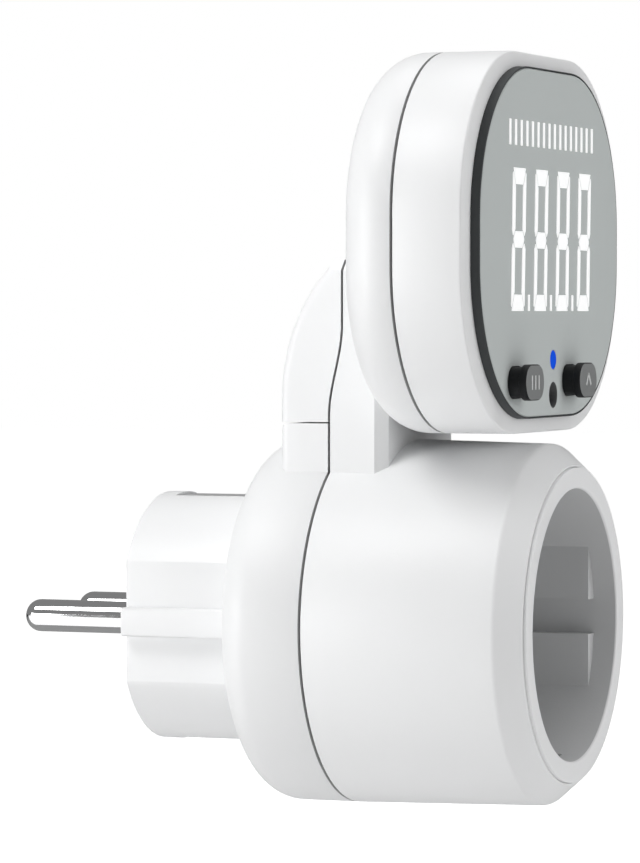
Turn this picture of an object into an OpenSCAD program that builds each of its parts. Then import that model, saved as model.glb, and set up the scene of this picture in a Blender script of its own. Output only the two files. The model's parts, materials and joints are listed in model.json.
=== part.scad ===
// Plug-through energy monitor: a mains plug behind, a socket in front and a display head on a neck.
// Everything is drawn in a front view: x to the right, y up, z from the plug face towards the socket.
// The front view is then stood up, so that the pins point along +Y and the display faces -Y.

/* [Mains plug] */
// Diameter of a mains pin
pin_d = 4.8; // [4:0.1:5]
// Length of a pin in front of the plug face
pin_length = 19; // [17:0.5:20]
// Distance between the two pins
pin_spacing = 19; // [18:0.1:20]
// Diameter of the plug barrel
plug_d = 36.9; // [36:0.1:38]
// Length of the barrel behind the body
plug_length = 17.9; // [16:0.1:19]
// Depth of the two side flats of the barrel
plug_flat_depth = 2.25; // [1.8:0.05:2.8]
// Width of the guide rib on each flat
plug_rib_w = 4.2; // [3.5:0.1:5]
// Rounding of the barrel's front edge
plug_edge_r = 0.5; // [0.3:0.1:2]
// Thickness of the barrel's front wall
plug_front_wall = 3.5; // [3:0.1:4.5]
// Width of an earth strip
earth_strip_w = 8; // [6:0.5:9]
// Thickness of an earth strip
earth_strip_t = 0.9; // [0.6:0.1:1.2]

/* [Body] */
// Diameter of the body at its seam
body_d = 53.6; // [52:0.1:56]
// How much the body narrows from its seam to its front bevel, on the radius
body_draft = 0.6; // [0:0.1:1]
// Length of the body from its rear face to the socket lip
body_length = 46.1; // [45:0.1:50]
// Distance of the seam from the rear face
seam_distance = 13.5; // [12:0.1:15]
// Width of the shadow line between two mouldings
seam_gap = 0.36; // [0.2:0.02:0.5]
// Rounding of the rear edge
rear_edge_r = 5; // [3:0.1:6]
// Length of the front bevel
bevel_length = 3.4; // [2.5:0.1:4]
// Wall of the body mouldings
wall = 2; // [1.8:0.1:2.4]

/* [Socket] */
// Space between the body's wall and the socket insert
ring_space = 3.6; // [3.4:0.1:4.2]
// Depth of the recess from the lip to the floor
socket_depth = 17.5; // [17:0.1:18.5]
// Width of the lip ring
lip_w = 3.05; // [2.6:0.05:3.3]
// How far the lip stands in front of the bevel
lip_rise = 0.5; // [0.3:0.1:0.8]
// Thickness of the side flats in the recess
socket_flat_t = 2.95; // [2.3:0.05:3.2]
// Distance of the side flats behind the lip
socket_flat_setback = 3.6; // [3.2:0.1:5]
// Width of the key groove in each side flat
groove_w = 5.2; // [4.8:0.1:6]
// Diameter of a pin hole in the socket floor
pin_hole_d = 5.6; // [5.4:0.1:6]
// Wall of the socket insert
insert_wall = 1.45; // [1.3:0.05:1.6]
// Angle that the shutter turns to open
shutter_angle = 40; // [38:1:46]

/* [Neck] */
// Width of the neck
neck_w = 30; // [28:0.5:32]
// Distance of the neck's rear face from the body's rear face
neck_rear_setback = 5.8; // [5:0.1:7]
// Height of the neck above the body
neck_height = 26; // [24:0.1:27]
// Height of the stub below the neck cover
stub_height = 2.5; // [2:0.1:4]
// Radius of the curved back of the neck
neck_back_r = 28; // [26:0.5:32]
// How far the seam moves forward up the neck
neck_seam_shift = 2; // [1:0.1:2.5]
// Rounding of the neck's rear edges
neck_edge_r = 1.4; // [0.8:0.1:2]
// Chamfer of the neck's front and top edges
neck_chamfer = 1.6; // [0.8:0.1:2]

/* [Head] */
// Width of the head
head_w = 71.4; // [68:0.1:74]
// Height of the head
head_h = 54.4; // [53:0.1:56]
// Height of the straight part of the head's sides
head_side_h = 7.2; // [5:0.1:9]
// Gap between the head and the body
head_gap = 1.1; // [0.6:0.05:1.6]
// Distance of the head's back, which stands on the neck's front face, in front of the neck's seam
head_lead = 6.57; // [6:0.01:7]
// Depth of the bezel
bezel_depth = 10.2; // [9.8:0.1:11]
// Depth of the rear shell
shell_depth = 8.6; // [8.2:0.1:9.4]
// Rounding of the rear shell's edge
shell_edge_r = 6.3; // [4:0.1:7]
// Rounding of the bezel's front edge
bezel_edge_r = 0.3; // [0.2:0.05:0.6]

/* [Panel] */
// Width of the bezel on each side of the panel
bezel_side_w = 4.05; // [3.2:0.05:5.5]
// Width of the bezel above and below the panel
bezel_end_w = 2.1; // [1.9:0.05:2.6]
// How much smaller the panel's corner radius is than the head's
bezel_corner_w = 1.6; // [1.4:0.1:3]
// How far the panel stands in front of the bezel
panel_rise = 1.4; // [1:0.1:1.8]
// Width of the dark rim round the panel's face
panel_rim = 0.2; // [0.15:0.05:0.5]
// Thickness of the panel's face
panel_t = 1.3; // [1:0.1:1.4]
// Height of a figure
digit_h = 20.2; // [18:0.1:21]
// Width of a figure
digit_w = 5.85; // [5:0.05:6.4]
// Lean of a figure, sideways for its height
digit_lean = 0.04; // [0:0.01:0.15]
// Distance of the row of figures from the panel's sides
digit_margin = 11.65; // [11:0.05:13]
// Thickness of a figure's level bars
digit_bar = 2.3; // [1.8:0.1:2.6]
// Width of a figure's upright bars
digit_post = 1.3; // [1.1:0.05:1.6]
// Number of bars in the scale above the figures
scale_bars = 16; // [8:1:16]

/* [Buttons] */
// Length of a button cap
button_w = 8.2; // [7:0.1:9]
// Height of a button cap
button_h = 5.1; // [4.5:0.1:5.6]
// How far a button stands in front of the panel
button_rise = 2.9; // [2.4:0.1:3.2]
// Thickness of the button cap
button_cap_t = 1.15; // [0.9:0.05:1.3]
// Travel of a button
button_travel = 0.5; // [0.3:0.05:0.6]
// How far the mode button stands outside the centre of the panel's corner
mode_reach = 6.45; // [4:0.05:7]
// Sideways place of the up button
up_x = 8.4; // [8:0.1:12]
// Sideways place of the indicator and the reset hole
middle_x = 0.65; // [0:0.05:1]
// Height of the buttons above the head's lower edge
button_lift = 7.4; // [6.8:0.05:8.2]
// Diameter of the reset hole
reset_hole_d = 3.8; // [3.4:0.1:4]
// Diameter of the indicator
led_d = 2.76; // [2.4:0.02:3]

/* [Hidden] */
$fn = 64;

// Overlap that makes a cut pass cleanly through a face
cut = 1;
// Clearance between pieces that are pushed together
fit_clearance = 0.1;
// Clearance round pieces that move
moving_clearance = 0.3;
// Running clearance on a pivot, on the radius
pivot_clearance = 0.05;

// Places along the plug axis, from the plug face forward
body_rear_z = plug_length;
seam_z = body_rear_z + seam_distance;
lip_z = body_rear_z + body_length;
floor_z = lip_z - socket_depth;
head_back_z = seam_z + neck_seam_shift + head_lead;
head_seam_z = head_back_z + shell_depth;
head_front_z = head_seam_z + bezel_depth;
panel_face_z = head_front_z + panel_rise;
rear_inner_z = body_rear_z + wall;
// Height that lies beyond every piece, for cuts that pass right through
beyond_z = max(lip_z, panel_face_z) + cut;

// Radii and heights of the body
body_r = body_d / 2;
body_inner_r = body_r - wall;
body_front_r = body_r - body_draft;
front_inner_r = body_front_r - wall;
insert_outer_r = body_inner_r - ring_space;
socket_r = insert_outer_r - insert_wall;
socket_flat_w = 2 * (socket_r - socket_flat_t);
lip_r = socket_r + lip_w;
plug_r = plug_d / 2;
plug_flat_w = plug_d - 2 * plug_flat_depth;
pin_x = pin_spacing / 2;

// Places up the neck and the head
neck_top_y = body_r + neck_height;
split_y = body_r + stub_height;
curve_rise = 3.7;
neck_curve_y = split_y + curve_rise;
neck_root_depth = 6;
neck_root_y = body_r - neck_root_depth;
hollow_root_depth = 5;
hollow_root_y = body_inner_r - hollow_root_depth;
split_gap = 0.2;
neck_rear_z = body_rear_z + neck_rear_setback;
neck_front_z = head_back_z;
neck_axis_z = neck_rear_z + neck_back_r;
neck_inner_w = neck_w - 2 * wall;
seam_low_rise = 1;
seam_curve_h = 13;
neck_seam_low_y = split_y + seam_low_rise;
neck_seam_high_y = neck_seam_low_y + seam_curve_h;
pad_wall = 2.2;
head_y = body_r + head_gap + head_h / 2;
head_corner_r = (head_h - head_side_h) / 2;
cable_drop = 7.75;
cable_hole_y = neck_top_y - cable_drop;
cable_hole_d = 7;

// Sizes of the plug's inside
pin_flange_d = 7.4;
flange_clearance = 0.5;
barrel_inner_r = pin_x + pin_flange_d / 2 + flange_clearance;
// Root of a pin, thinner inside the front wall, and the shallow recess that the thick part ends in
pin_relief = 0.4;
pin_root_d = pin_d - 2 * pin_relief;
pin_recess_w = 1.2;
pin_recess_depth = 0.4;
pin_shoulder_z = pin_recess_depth / 2;
pin_flange_t = 1.6;
pin_tail_d = 3.2;
carrier_t = 3;
carrier_z = plug_front_wall + pin_flange_t;
earth_sink = 0.45;
earth_groove_y = plug_r - earth_strip_t - earth_sink;
earth_gap = 0.75;
earth_rise_y = insert_outer_r + earth_gap + earth_strip_t / 2;
earth_start_z = 2.8;
earth_bend = 3.6;
// Spring end of an earth strip: distances in front of the socket's floor and from the recess wall
earth_turn = 2;
earth_bow_z = [5.5, 9, 11.5];
earth_bow_y = [-1.9, -1.2, 0.8];

// Metering board, which lies on the rear wall's inner face
board_clearance = 0.6;
board_r = earth_groove_y - board_clearance;
board_t = 1.6;
board_top_z = rear_inner_z + board_t;
tail_rise = 0.8;
tail_end_z = board_top_z + tail_rise;
contact_base_t = 1;
contact_w = 5;
contact_leaf_t = 0.7;
contact_leaf_rise = 5;
contact_mouth = 3;
chip_t = 1.6;
connector_h = 4;
cable_w = 4;
cable_t = 1;
cable_bend = 3;
cable_headroom = 2;
riser_gap = 0.6;

// Parts on the metering board
capacitor_inset = 7.1;
capacitor_x = -3;
capacitor_y = board_r - capacitor_inset;
film_w = 10;
film_h = 5.5;
film_depth = 10.5;
film_corner_r = 0.6;
filter_d = 8;
filter_depth = 11.5;
shunt_reach = 2.8;
shunt_rise = 3;
shunt_t = 0.8;
shunt_w = 4;
meter_chip_w = 8;
meter_chip_h = 6;
connector_inset = 5.6;
connector_x = 7;
connector_y = board_r - connector_inset;
board_connector_w = 6;
board_connector_h = 4;

// Socket insert, shutter and retainer behind the floor
lip_t = 2;
flange_z = lip_z - lip_t;
ledge_t = 2.5;
ledge_z = flange_z - ledge_t;
lip_edge = 0.35;
lip_margin = 0.4;
floor_t = 2.5;
floor_rear_z = floor_z - floor_t;
shutter_t = 2.5;
shutter_front_z = floor_rear_z - moving_clearance;
shutter_rear_z = shutter_front_z - shutter_t;
retainer_gap = 0.6;
retainer_front_z = shutter_rear_z - retainer_gap;
retainer_t = 1.6;
retainer_rear_z = retainer_front_z - retainer_t;
shutter_gap = 0.9;
shutter_r = socket_r - shutter_gap;
shutter_hole_r = 3.1;
post_r = 2.5;
spring_wire_d = 0.5;
spring_r = 3.6;
spring_pocket_r = 5;
spring_pocket_depth = 1.6;
spring_turns = 3;
spring_leg = 3;
spring_pitch = 0.45;
ramp_angle = 20;
ramp_w = 5;
contact_gap = 0.5;
contact_entry_z = retainer_rear_z - contact_gap;

// Screws
screw_d = 2.6;
screw_head_d = 4.6;
screw_head_t = 1.6;
recess_l = 2.6;
recess_w = 0.6;
recess_depth = 0.8;
screw_clearance = 0.2;
thread_clearance = 0.05;
boss_r = 3;
boss_wall = 1.1;
rear_boss_r = screw_head_d / 2 + boss_wall;
barrel_gap = 0.5;
casing_screw_r = plug_r + screw_head_d / 2 + barrel_gap;
casing_screw_angles = [45, 135, 225, 315];
casing_head_sink = 2;
front_boss_length = 6.5;
front_start_z = seam_z + seam_gap / 2;
spigot_length = 2;
spigot_t = 1.3;
tongue_t = 1.2;
tongue_h = 8;
tongue_reach = 2.4;
foot_tongue_w = 16;
head_boss_angle = 31.5;
head_boss_inset = 6.95;
head_boss_out = head_corner_r - head_boss_inset;
head_boss_x = head_w / 2 - head_corner_r + head_boss_out * cos(head_boss_angle);
head_boss_y = head_side_h / 2 + head_boss_out * sin(head_boss_angle);
head_boss_r = 3.6;
head_screw_sink = 3;
boss_web = head_boss_inset - wall / 4;
neck_screw_inset = 4;
neck_screw_x = neck_inner_w / 2 - neck_screw_inset;
neck_screw_drop = 6.75;
neck_screw_y = neck_top_y - neck_screw_drop;
neck_screw_bite = 6;
neck_screw_end_z = head_back_z + neck_screw_bite;

// Layers of the head, from the panel backwards
panel_w = head_w - 2 * bezel_side_w;
panel_h = head_h - 2 * bezel_end_w;
panel_corner_r = head_corner_r - bezel_corner_w;
pocket_depth = 1.6;
bezel_ledge_z = head_front_z - pocket_depth;
bezel_wall_t = 1.6;
bezel_wall_z = bezel_ledge_z - bezel_wall_t;
panel_back_z = panel_face_z - panel_t;
screw_end_gap = 1;
head_screw_end_z = bezel_wall_z - screw_end_gap;
panel_ledge = 0.9;
bezel_ledge = 1.2;
panel_step = 0.06;
panel_clearance = 0.03;
board_margin = 0.8;
head_board_t = 1.6;
head_board_lift = 0.5;
head_board_z = head_seam_z + head_board_lift;
head_board_top_z = head_board_z + head_board_t;
bezel_boss_h = bezel_wall_z - head_board_top_z;
switch_h = 3.5;
switch_top_z = head_board_top_z + switch_h;
switch_w = 6;
plunger_r = 1.6;
plunger_rise = 1.1;
plunger_top_z = switch_top_z + plunger_rise;
plunger_sink = 0.6;
digit_pitch = (panel_w - 2 * digit_margin) / 4;
module_margin = 1.2;
module_corner_r = 0.8;
module_h = digit_h + 2 * module_margin;
module_w = 4 * digit_pitch + 2 * module_margin;
mode_x = panel_corner_r - panel_w / 2 - mode_reach;
button_y = head_y - head_h / 2 + button_lift;
reset_drop = 2.05;
reset_y = button_y - reset_drop;
led_lift = 3.05;
led_y = button_y + led_lift;
digit_lift = 0.4;
digit_mid_y = head_y + digit_lift;
digit_mid_x = -0.1;
print_t = 0.08;
scale_lift = 5;
scale_y = digit_mid_y + digit_h / 2 + scale_lift;
scale_h = 3.6;
scale_w = 4 * digit_pitch;
scale_bar_w = 0.8;
cap_step_w = 0.6;
cap_step_h = 0.35;
button_stem_w = button_w - 2 * cap_step_w;
button_stem_h = button_h - 2 * cap_step_h;
button_stop_t = 1;
button_stop_w = 2;
button_stop_reach = 0.9;
button_rod_r = 1.5;
reset_sink = 1.2;
digit_gap = 0.3;
digit_shoulder = 0.8;
digit_waist = 1.3;
digit_tip = 0.55;
point_gap = 1.2;
point_w = 0.8;
lens_flange = 0.6;
control_chip_w = 10;
control_chip_x = 9;
head_connector_w = 8;
head_connector_h = 5;

// Stands the front view up into the part's own frame
module front_view() rotate([90, 0, 0]) children();

// Extrudes a side view, drawn as (z, y), across the width w
module side_extrude(w) rotate([0, -90, 0]) linear_extrude(w, center = true) children();

// Rounded rectangle with true arcs
module rounded_rect(w, h, r) {
    square([w - 2 * r, h], center = true);
    square([w, h - 2 * r], center = true);
    for (x = [-1, 1], y = [-1, 1])
        translate([x * (w / 2 - r), y * (h / 2 - r)]) circle(r);
}

// Flat plate with a rounded outline, from height z0 to z1
module plate(w, h, r, z0, z1) translate([0, 0, z0]) linear_extrude(z1 - z0) rounded_rect(w, h, r);

// Pill outline lying along x
module pill(w, h) {
    square([w - h, h], center = true);
    for (x = [-1, 1]) translate([x * (w - h) / 2, 0]) circle(h / 2);
}

// Section of a slab's rim: radius out from the corner centre, with one rounded lower edge
module rim_section(r, depth, edge_r) {
    square([r - edge_r, depth]);
    translate([0, edge_r]) square([r, depth - edge_r]);
    intersection() {
        translate([r - edge_r, edge_r]) circle(edge_r);
        square([r, edge_r]);
    }
}

// Slab with a rounded outline whose lower rim is rounded too, standing on z = 0
module pillow_slab(w, h, corner_r, depth, edge_r) {
    run_x = w - 2 * corner_r;
    run_y = h - 2 * corner_r;
    for (turn = [0, 1, 2, 3]) {
        side_x = (turn == 0 || turn == 3) ? 1 : -1;
        side_y = turn < 2 ? 1 : -1;
        translate([side_x * run_x / 2, side_y * run_y / 2, 0]) rotate([0, 0, 90 * turn])
            rotate_extrude(angle = 90) rim_section(corner_r, depth, edge_r);
    }
    for (half = [0, 180]) rotate([0, 0, half]) {
        translate([run_x / 2, run_y / 2, 0]) rotate([90, 0, 0])
            linear_extrude(run_y) rim_section(corner_r, depth, edge_r);
        translate([-run_x / 2, run_y / 2, 0]) rotate([90, 0, 90])
            linear_extrude(run_x) rim_section(corner_r, depth, edge_r);
    }
    translate([-run_x / 2, -run_y / 2, 0]) cube([run_x, run_y, depth]);
}

// Direction across a strip's line at point i, longer at a bend so that the strip keeps its thickness
function strip_side(points, i) =
    let (
        last = len(points) - 1,
        before = points[max(i, 1)] - points[max(i, 1) - 1],
        after = points[min(i, last - 1) + 1] - points[min(i, last - 1)],
        side_before = [-before[1], before[0]] / norm(before),
        side_after = [-after[1], after[0]] / norm(after)
    )
    (side_before + side_after) / (1 + side_before * side_after);

// Strip of metal bent through a list of (z, y) points and extruded across its width
module bent_strip(points, t, w) {
    last = len(points) - 1;
    side_extrude(w) polygon(concat(
        [for (i = [0 : last]) points[i] + t / 2 * strip_side(points, i)],
        [for (i = [last : -1 : 0]) points[i] - t / 2 * strip_side(points, i)]
    ));
}

// Pan-head screw with a cross recess: head from z = 0 down, shank forward to the length
module screw(length) difference() {
    union() {
        translate([0, 0, -screw_head_t]) cylinder(h = screw_head_t, d = screw_head_d);
        cylinder(h = length, d = screw_d);
    }
    for (turn = [0, 90]) rotate(turn)
        translate([-recess_l / 2, -recess_w / 2, -screw_head_t - cut])
            cube([recess_l, recess_w, recess_depth + cut]);
}

// Places one copy at each casing screw
module at_casing_screws()
    for (angle = casing_screw_angles) rotate(angle) translate([casing_screw_r, 0, 0]) children();

// Places one copy at each head screw
module at_head_screws()
    for (x = [-1, 1], y = [-1, 1])
        translate([x * head_boss_x, head_y + y * head_boss_y, 0]) children();

// Places one copy at each neck screw
module at_neck_screws()
    for (x = [-1, 1]) translate([x * neck_screw_x, neck_screw_y, 0]) children();

// Places one copy at each mains pin
module at_pins() for (x = [-1, 1]) translate([x * pin_x, 0, 0]) children();

// Place of the neck's seam at a height: a smooth step forward between two levels
function seam_step(y) =
    let (t = min(1, max(0, (y - neck_seam_low_y) / (neck_seam_high_y - neck_seam_low_y))))
    seam_z + neck_seam_shift * t * t * (3 - 2 * t);

// Side view of everything behind the neck's seam, moved by an offset along z
module behind_seam(offset_z) {
    steps = 10;
    rise = neck_seam_high_y - neck_seam_low_y;
    curve = [for (i = [0 : steps])
        let (y = neck_seam_low_y + rise * i / steps) [seam_step(y) + offset_z, y]];
    polygon(concat(
        [[0, 0], [seam_z + offset_z, 0]],
        curve,
        [[seam_z + neck_seam_shift + offset_z, neck_top_y + cut], [0, neck_top_y + cut]]
    ));
}

// Plan of the neck: rear edges rounded, front edges chamfered
module neck_plan() {
    half_w = neck_w / 2;
    translate([-half_w, neck_rear_z + neck_edge_r])
        square([neck_w, neck_front_z - neck_chamfer - neck_rear_z - neck_edge_r]);
    translate([-half_w + neck_edge_r, neck_rear_z])
        square([neck_w - 2 * neck_edge_r, neck_front_z - neck_chamfer - neck_rear_z]);
    for (x = [-1, 1]) translate([x * (half_w - neck_edge_r), neck_rear_z + neck_edge_r]) circle(neck_edge_r);
    polygon([
        [-half_w, neck_front_z - neck_chamfer], [half_w, neck_front_z - neck_chamfer],
        [half_w - neck_chamfer, neck_front_z], [-half_w + neck_chamfer, neck_front_z],
    ]);
}

// Plan of the upper neck, left wide at the back, where the curved back cuts it
module neck_upper_plan() {
    half_w = neck_w / 2;
    polygon([
        [-half_w - cut, 0], [half_w + cut, 0], [half_w + cut, neck_front_z - neck_chamfer - cut],
        [half_w - neck_chamfer, neck_front_z], [-half_w + neck_chamfer, neck_front_z],
        [-half_w - cut, neck_front_z - neck_chamfer - cut],
    ]);
}

// Wheel about the neck's curve centre, whose rim is the curved back of the neck
module neck_wheel() {
    half_w = neck_w / 2;
    translate([0, neck_curve_y, neck_axis_z]) rotate([0, 90, 0]) rotate_extrude($fn = 128) {
        translate([0, -half_w]) square([neck_back_r - neck_edge_r, neck_w]);
        translate([0, -half_w + neck_edge_r]) square([neck_back_r, neck_w - 2 * neck_edge_r]);
        for (x = [-1, 1])
            translate([neck_back_r - neck_edge_r, x * (half_w - neck_edge_r)]) circle(neck_edge_r);
    }
}

// Front view of the neck with its chamfered top
module neck_front_outline() {
    half_w = neck_w / 2;
    polygon([
        [-half_w - cut, neck_root_y - cut], [half_w + cut, neck_root_y - cut],
        [half_w + cut, neck_top_y - neck_chamfer - cut], [half_w, neck_top_y - neck_chamfer],
        [half_w - neck_chamfer, neck_top_y], [-half_w + neck_chamfer, neck_top_y],
        [-half_w, neck_top_y - neck_chamfer], [-half_w - cut, neck_top_y - neck_chamfer - cut],
    ]);
}

// Whole outer form of the neck, before its seams are cut
module neck_form() {
    // straight foot
    translate([0, neck_curve_y, 0]) rotate([90, 0, 0]) linear_extrude(neck_curve_y - neck_root_y)
        neck_plan();
    // curved upper part
    intersection() {
        neck_wheel();
        translate([0, neck_top_y, 0]) rotate([90, 0, 0]) linear_extrude(neck_top_y - neck_curve_y)
            neck_upper_plan();
        linear_extrude(lip_z) neck_front_outline();
    }
}

// Pieces of the body

// Space inside the neck, open into the body below
module neck_hollow() {
    front_z = head_back_z - pad_wall;
    side_extrude(neck_inner_w) {
        translate([neck_rear_z + wall, hollow_root_y])
            square([front_z - neck_rear_z - wall, neck_curve_y - hollow_root_y]);
        intersection() {
            translate([neck_axis_z, neck_curve_y]) circle(neck_back_r - wall, $fn = 128);
            translate([neck_rear_z, neck_curve_y])
                square([front_z - neck_rear_z, neck_top_y - wall - neck_curve_y]);
        }
    }
}

// Part of the neck behind its seam, between two heights
module neck_rear_part(y0, y1) intersection() {
    neck_form();
    side_extrude(2 * neck_w) behind_seam(-seam_gap / 2);
    translate([-neck_w, y0, 0]) cube([2 * neck_w, y1 - y0, lip_z]);
}

// Plug barrel with its side flats; what stands between the cuts are the guide ribs
module plug_barrel() difference() {
    rotate_extrude($fn = 128) rim_section(plug_r, rear_inner_z, plug_edge_r);
    for (turn = [0, 180], side = [0, 1]) rotate(turn) mirror([0, side, 0])
        translate([plug_flat_w / 2, plug_rib_w / 2, -cut]) cube([plug_r, plug_r, body_rear_z + cut]);
}

// Grooves in the barrel and slots in the rear wall for the earth strips
module earth_slots() for (turn = [0, 180]) rotate(turn) {
    slot_w = earth_strip_w + 2 * fit_clearance;
    translate([-slot_w / 2, earth_groove_y, earth_start_z])
        cube([slot_w, plug_r, body_rear_z - earth_start_z]);
    translate([-slot_w / 2, earth_groove_y, body_rear_z - cut])
        cube([slot_w, earth_strip_t + fit_clearance, wall + 2 * cut]);
}

module rear_casing() color("white") front_view() difference() {
    union() {
        difference() {
            union() {
                translate([0, 0, body_rear_z]) rotate_extrude($fn = 128)
                    rim_section(body_r, seam_distance - seam_gap / 2, rear_edge_r);
                plug_barrel();
                neck_rear_part(0, split_y - split_gap / 2);
            }
            translate([0, 0, rear_inner_z]) cylinder(h = body_length, r = body_inner_r, $fn = 128);
            translate([0, 0, plug_front_wall]) cylinder(h = body_length, r = barrel_inner_r);
            neck_hollow();
        }
        at_casing_screws() translate([0, 0, rear_inner_z - wall / 2])
            cylinder(h = seam_distance - wall / 2, r = rear_boss_r);
    }
    at_pins() translate([0, 0, -cut]) {
        cylinder(h = plug_front_wall + 2 * cut, d = pin_root_d + fit_clearance);
        cylinder(h = pin_recess_depth + cut, d = pin_d + 2 * pin_recess_w);
    }
    earth_slots();
    at_casing_screws() {
        translate([0, 0, body_rear_z - cut])
            cylinder(h = cut + casing_head_sink, d = screw_head_d + 2 * screw_clearance);
        translate([0, 0, body_rear_z]) cylinder(h = body_length, d = screw_d + 2 * screw_clearance);
    }
}

// Solid outside of the front casing: drafted cylinder with its bevel, and the front half of the neck
module front_casing_form() {
    bevel_end_z = lip_z - lip_rise;
    rotate_extrude($fn = 128) polygon([
        [0, front_start_z], [body_r, front_start_z], [body_front_r, bevel_end_z - bevel_length],
        [lip_r + lip_margin, bevel_end_z], [0, bevel_end_z],
    ]);
    difference() {
        neck_form();
        side_extrude(2 * neck_w) behind_seam(seam_gap / 2);
    }
}

// Ring that locates the rear casing, open at the neck and round the screw bosses
module spigot() difference() {
    union() {
        translate([0, 0, seam_z - spigot_length])
            cylinder(h = 2 * spigot_length, r = body_inner_r - fit_clearance, $fn = 128);
        translate([0, 0, front_start_z])
            cylinder(h = spigot_length, r = body_inner_r + fit_clearance, $fn = 128);
    }
    cylinder(h = lip_z, r = body_inner_r - spigot_t, $fn = 128);
    translate([-neck_w / 2, 0, 0]) cube([neck_w, body_d, lip_z]);
    at_casing_screws() cylinder(h = seam_z, r = rear_boss_r + moving_clearance);
}

module front_casing() color("white") front_view() difference() {
    union() {
        difference() {
            front_casing_form();
            rotate_extrude($fn = 128) polygon([
                [0, front_start_z - cut], [body_inner_r, front_start_z - cut],
                [body_inner_r, front_start_z], [front_inner_r, ledge_z], [0, ledge_z],
            ]);
            neck_hollow();
        }
        spigot();
        at_casing_screws() translate([0, 0, seam_z]) {
            cylinder(h = front_boss_length, r = boss_r);
            translate([0, -boss_r / 2, seam_gap])
                cube([body_inner_r - casing_screw_r + wall / 2, boss_r, front_boss_length - seam_gap]);
        }
    }
    translate([0, 0, ledge_z - cut]) cylinder(h = lip_z, r = insert_outer_r + fit_clearance, $fn = 128);
    translate([0, 0, flange_z]) cylinder(h = lip_z, r = lip_r + fit_clearance, $fn = 128);
    at_casing_screws() cylinder(h = seam_z + front_boss_length - wall, d = screw_d + 2 * thread_clearance);
    at_neck_screws() cylinder(h = head_back_z + cut, d = screw_d + 2 * screw_clearance);
    translate([0, cable_hole_y, neck_rear_z]) cylinder(h = head_back_z, d = cable_hole_d);
}

module neck_cover() color("white") front_view() {
    tongue_x = neck_inner_w / 2 - fit_clearance - tongue_t;
    tongue_y = neck_seam_high_y - tongue_h / 2;
    difference() {
        neck_rear_part(split_y + split_gap / 2, neck_top_y + cut);
        neck_hollow();
    }
    // side tongues that reach into the front half of the neck
    for (side = [0, 1]) mirror([side, 0, 0]) translate([tongue_x, tongue_y, seam_z - wall]) {
        cube([tongue_t + wall / 2, tongue_h, 1.5 * wall]);
        cube([tongue_t, tongue_h, wall + neck_seam_shift + tongue_reach]);
    }
    // foot tongue that reaches down behind the stub's rear wall
    translate([-foot_tongue_w / 2, split_y + split_gap / 2, neck_rear_z + wall / 2])
        cube([foot_tongue_w, wall, wall / 2 + fit_clearance + tongue_t]);
    translate([-foot_tongue_w / 2, split_y - tongue_reach, neck_rear_z + wall + fit_clearance])
        cube([foot_tongue_w, tongue_reach + wall, tongue_t]);
}

module plug_pins() color("silver") front_view() at_pins() {
    straight = pin_length - pin_d / 2;
    translate([0, 0, -straight]) {
        cylinder(h = straight + pin_shoulder_z, d = pin_d);
        sphere(d = pin_d);
    }
    // root in the front wall, then the flange and the tail behind it
    cylinder(h = plug_front_wall + cut, d = pin_root_d);
    translate([0, 0, plug_front_wall]) {
        cylinder(h = pin_flange_t, d = pin_flange_d);
        cylinder(h = tail_end_z - plug_front_wall, d = pin_tail_d);
    }
}

module pin_carrier() color("gainsboro") front_view() translate([0, 0, carrier_z]) difference() {
    cylinder(h = carrier_t, r = barrel_inner_r - fit_clearance);
    at_pins() translate([0, 0, -cut]) cylinder(h = carrier_t + 2 * cut, d = pin_tail_d + 2 * fit_clearance);
}

module earth_strips() color("silver") front_view() for (turn = [0, 180]) rotate(turn) {
    low_y = earth_groove_y + earth_strip_t / 2;
    bent_strip(concat(
        [
            [earth_start_z + fit_clearance, low_y], [rear_inner_z + earth_strip_t, low_y],
            [rear_inner_z + earth_bend, earth_rise_y], [floor_z + earth_turn, earth_rise_y],
        ],
        [for (i = [0 : len(earth_bow_z) - 1]) [floor_z + earth_bow_z[i], socket_r + earth_bow_y[i]]]
    ), earth_strip_t, earth_strip_w);
}

// Flats on both sides of the recess, each with its key groove
module socket_flats() intersection() {
    translate([0, 0, floor_z - cut])
        cylinder(h = socket_depth - socket_flat_setback + cut, r = socket_r + insert_wall / 2, $fn = 128);
    for (turn = [0, 180], side = [0, 1]) rotate(turn) mirror([0, side, 0])
        translate([socket_flat_w / 2, groove_w / 2, 0]) cube([socket_r, socket_r, lip_z]);
}

module socket_insert() color("gainsboro") front_view() difference() {
    union() {
        difference() {
            rotate_extrude($fn = 128) polygon([
                [0, retainer_front_z], [insert_outer_r, retainer_front_z], [insert_outer_r, flange_z],
                [lip_r, flange_z], [lip_r, lip_z - lip_edge], [lip_r - lip_edge, lip_z],
                [socket_r + lip_edge, lip_z], [socket_r, lip_z - lip_edge],
                [socket_r, floor_z], [0, floor_z],
            ]);
            translate([0, 0, retainer_front_z - cut])
                cylinder(h = floor_rear_z - retainer_front_z + cut, r = socket_r, $fn = 128);
        }
        socket_flats();
        translate([0, 0, retainer_rear_z]) cylinder(h = floor_z - retainer_rear_z - floor_t / 2, r = post_r);
    }
    at_pins() translate([0, 0, floor_rear_z - cut]) cylinder(h = floor_t + 2 * cut, d = pin_hole_d);
    for (turn = [0, 180]) rotate(turn)
        translate([-earth_strip_w / 2 - moving_clearance, socket_r - cut, floor_z + fit_clearance])
            cube([
                earth_strip_w + 2 * moving_clearance, insert_wall + 2 * cut,
                socket_depth - socket_flat_setback,
            ]);
}

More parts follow.
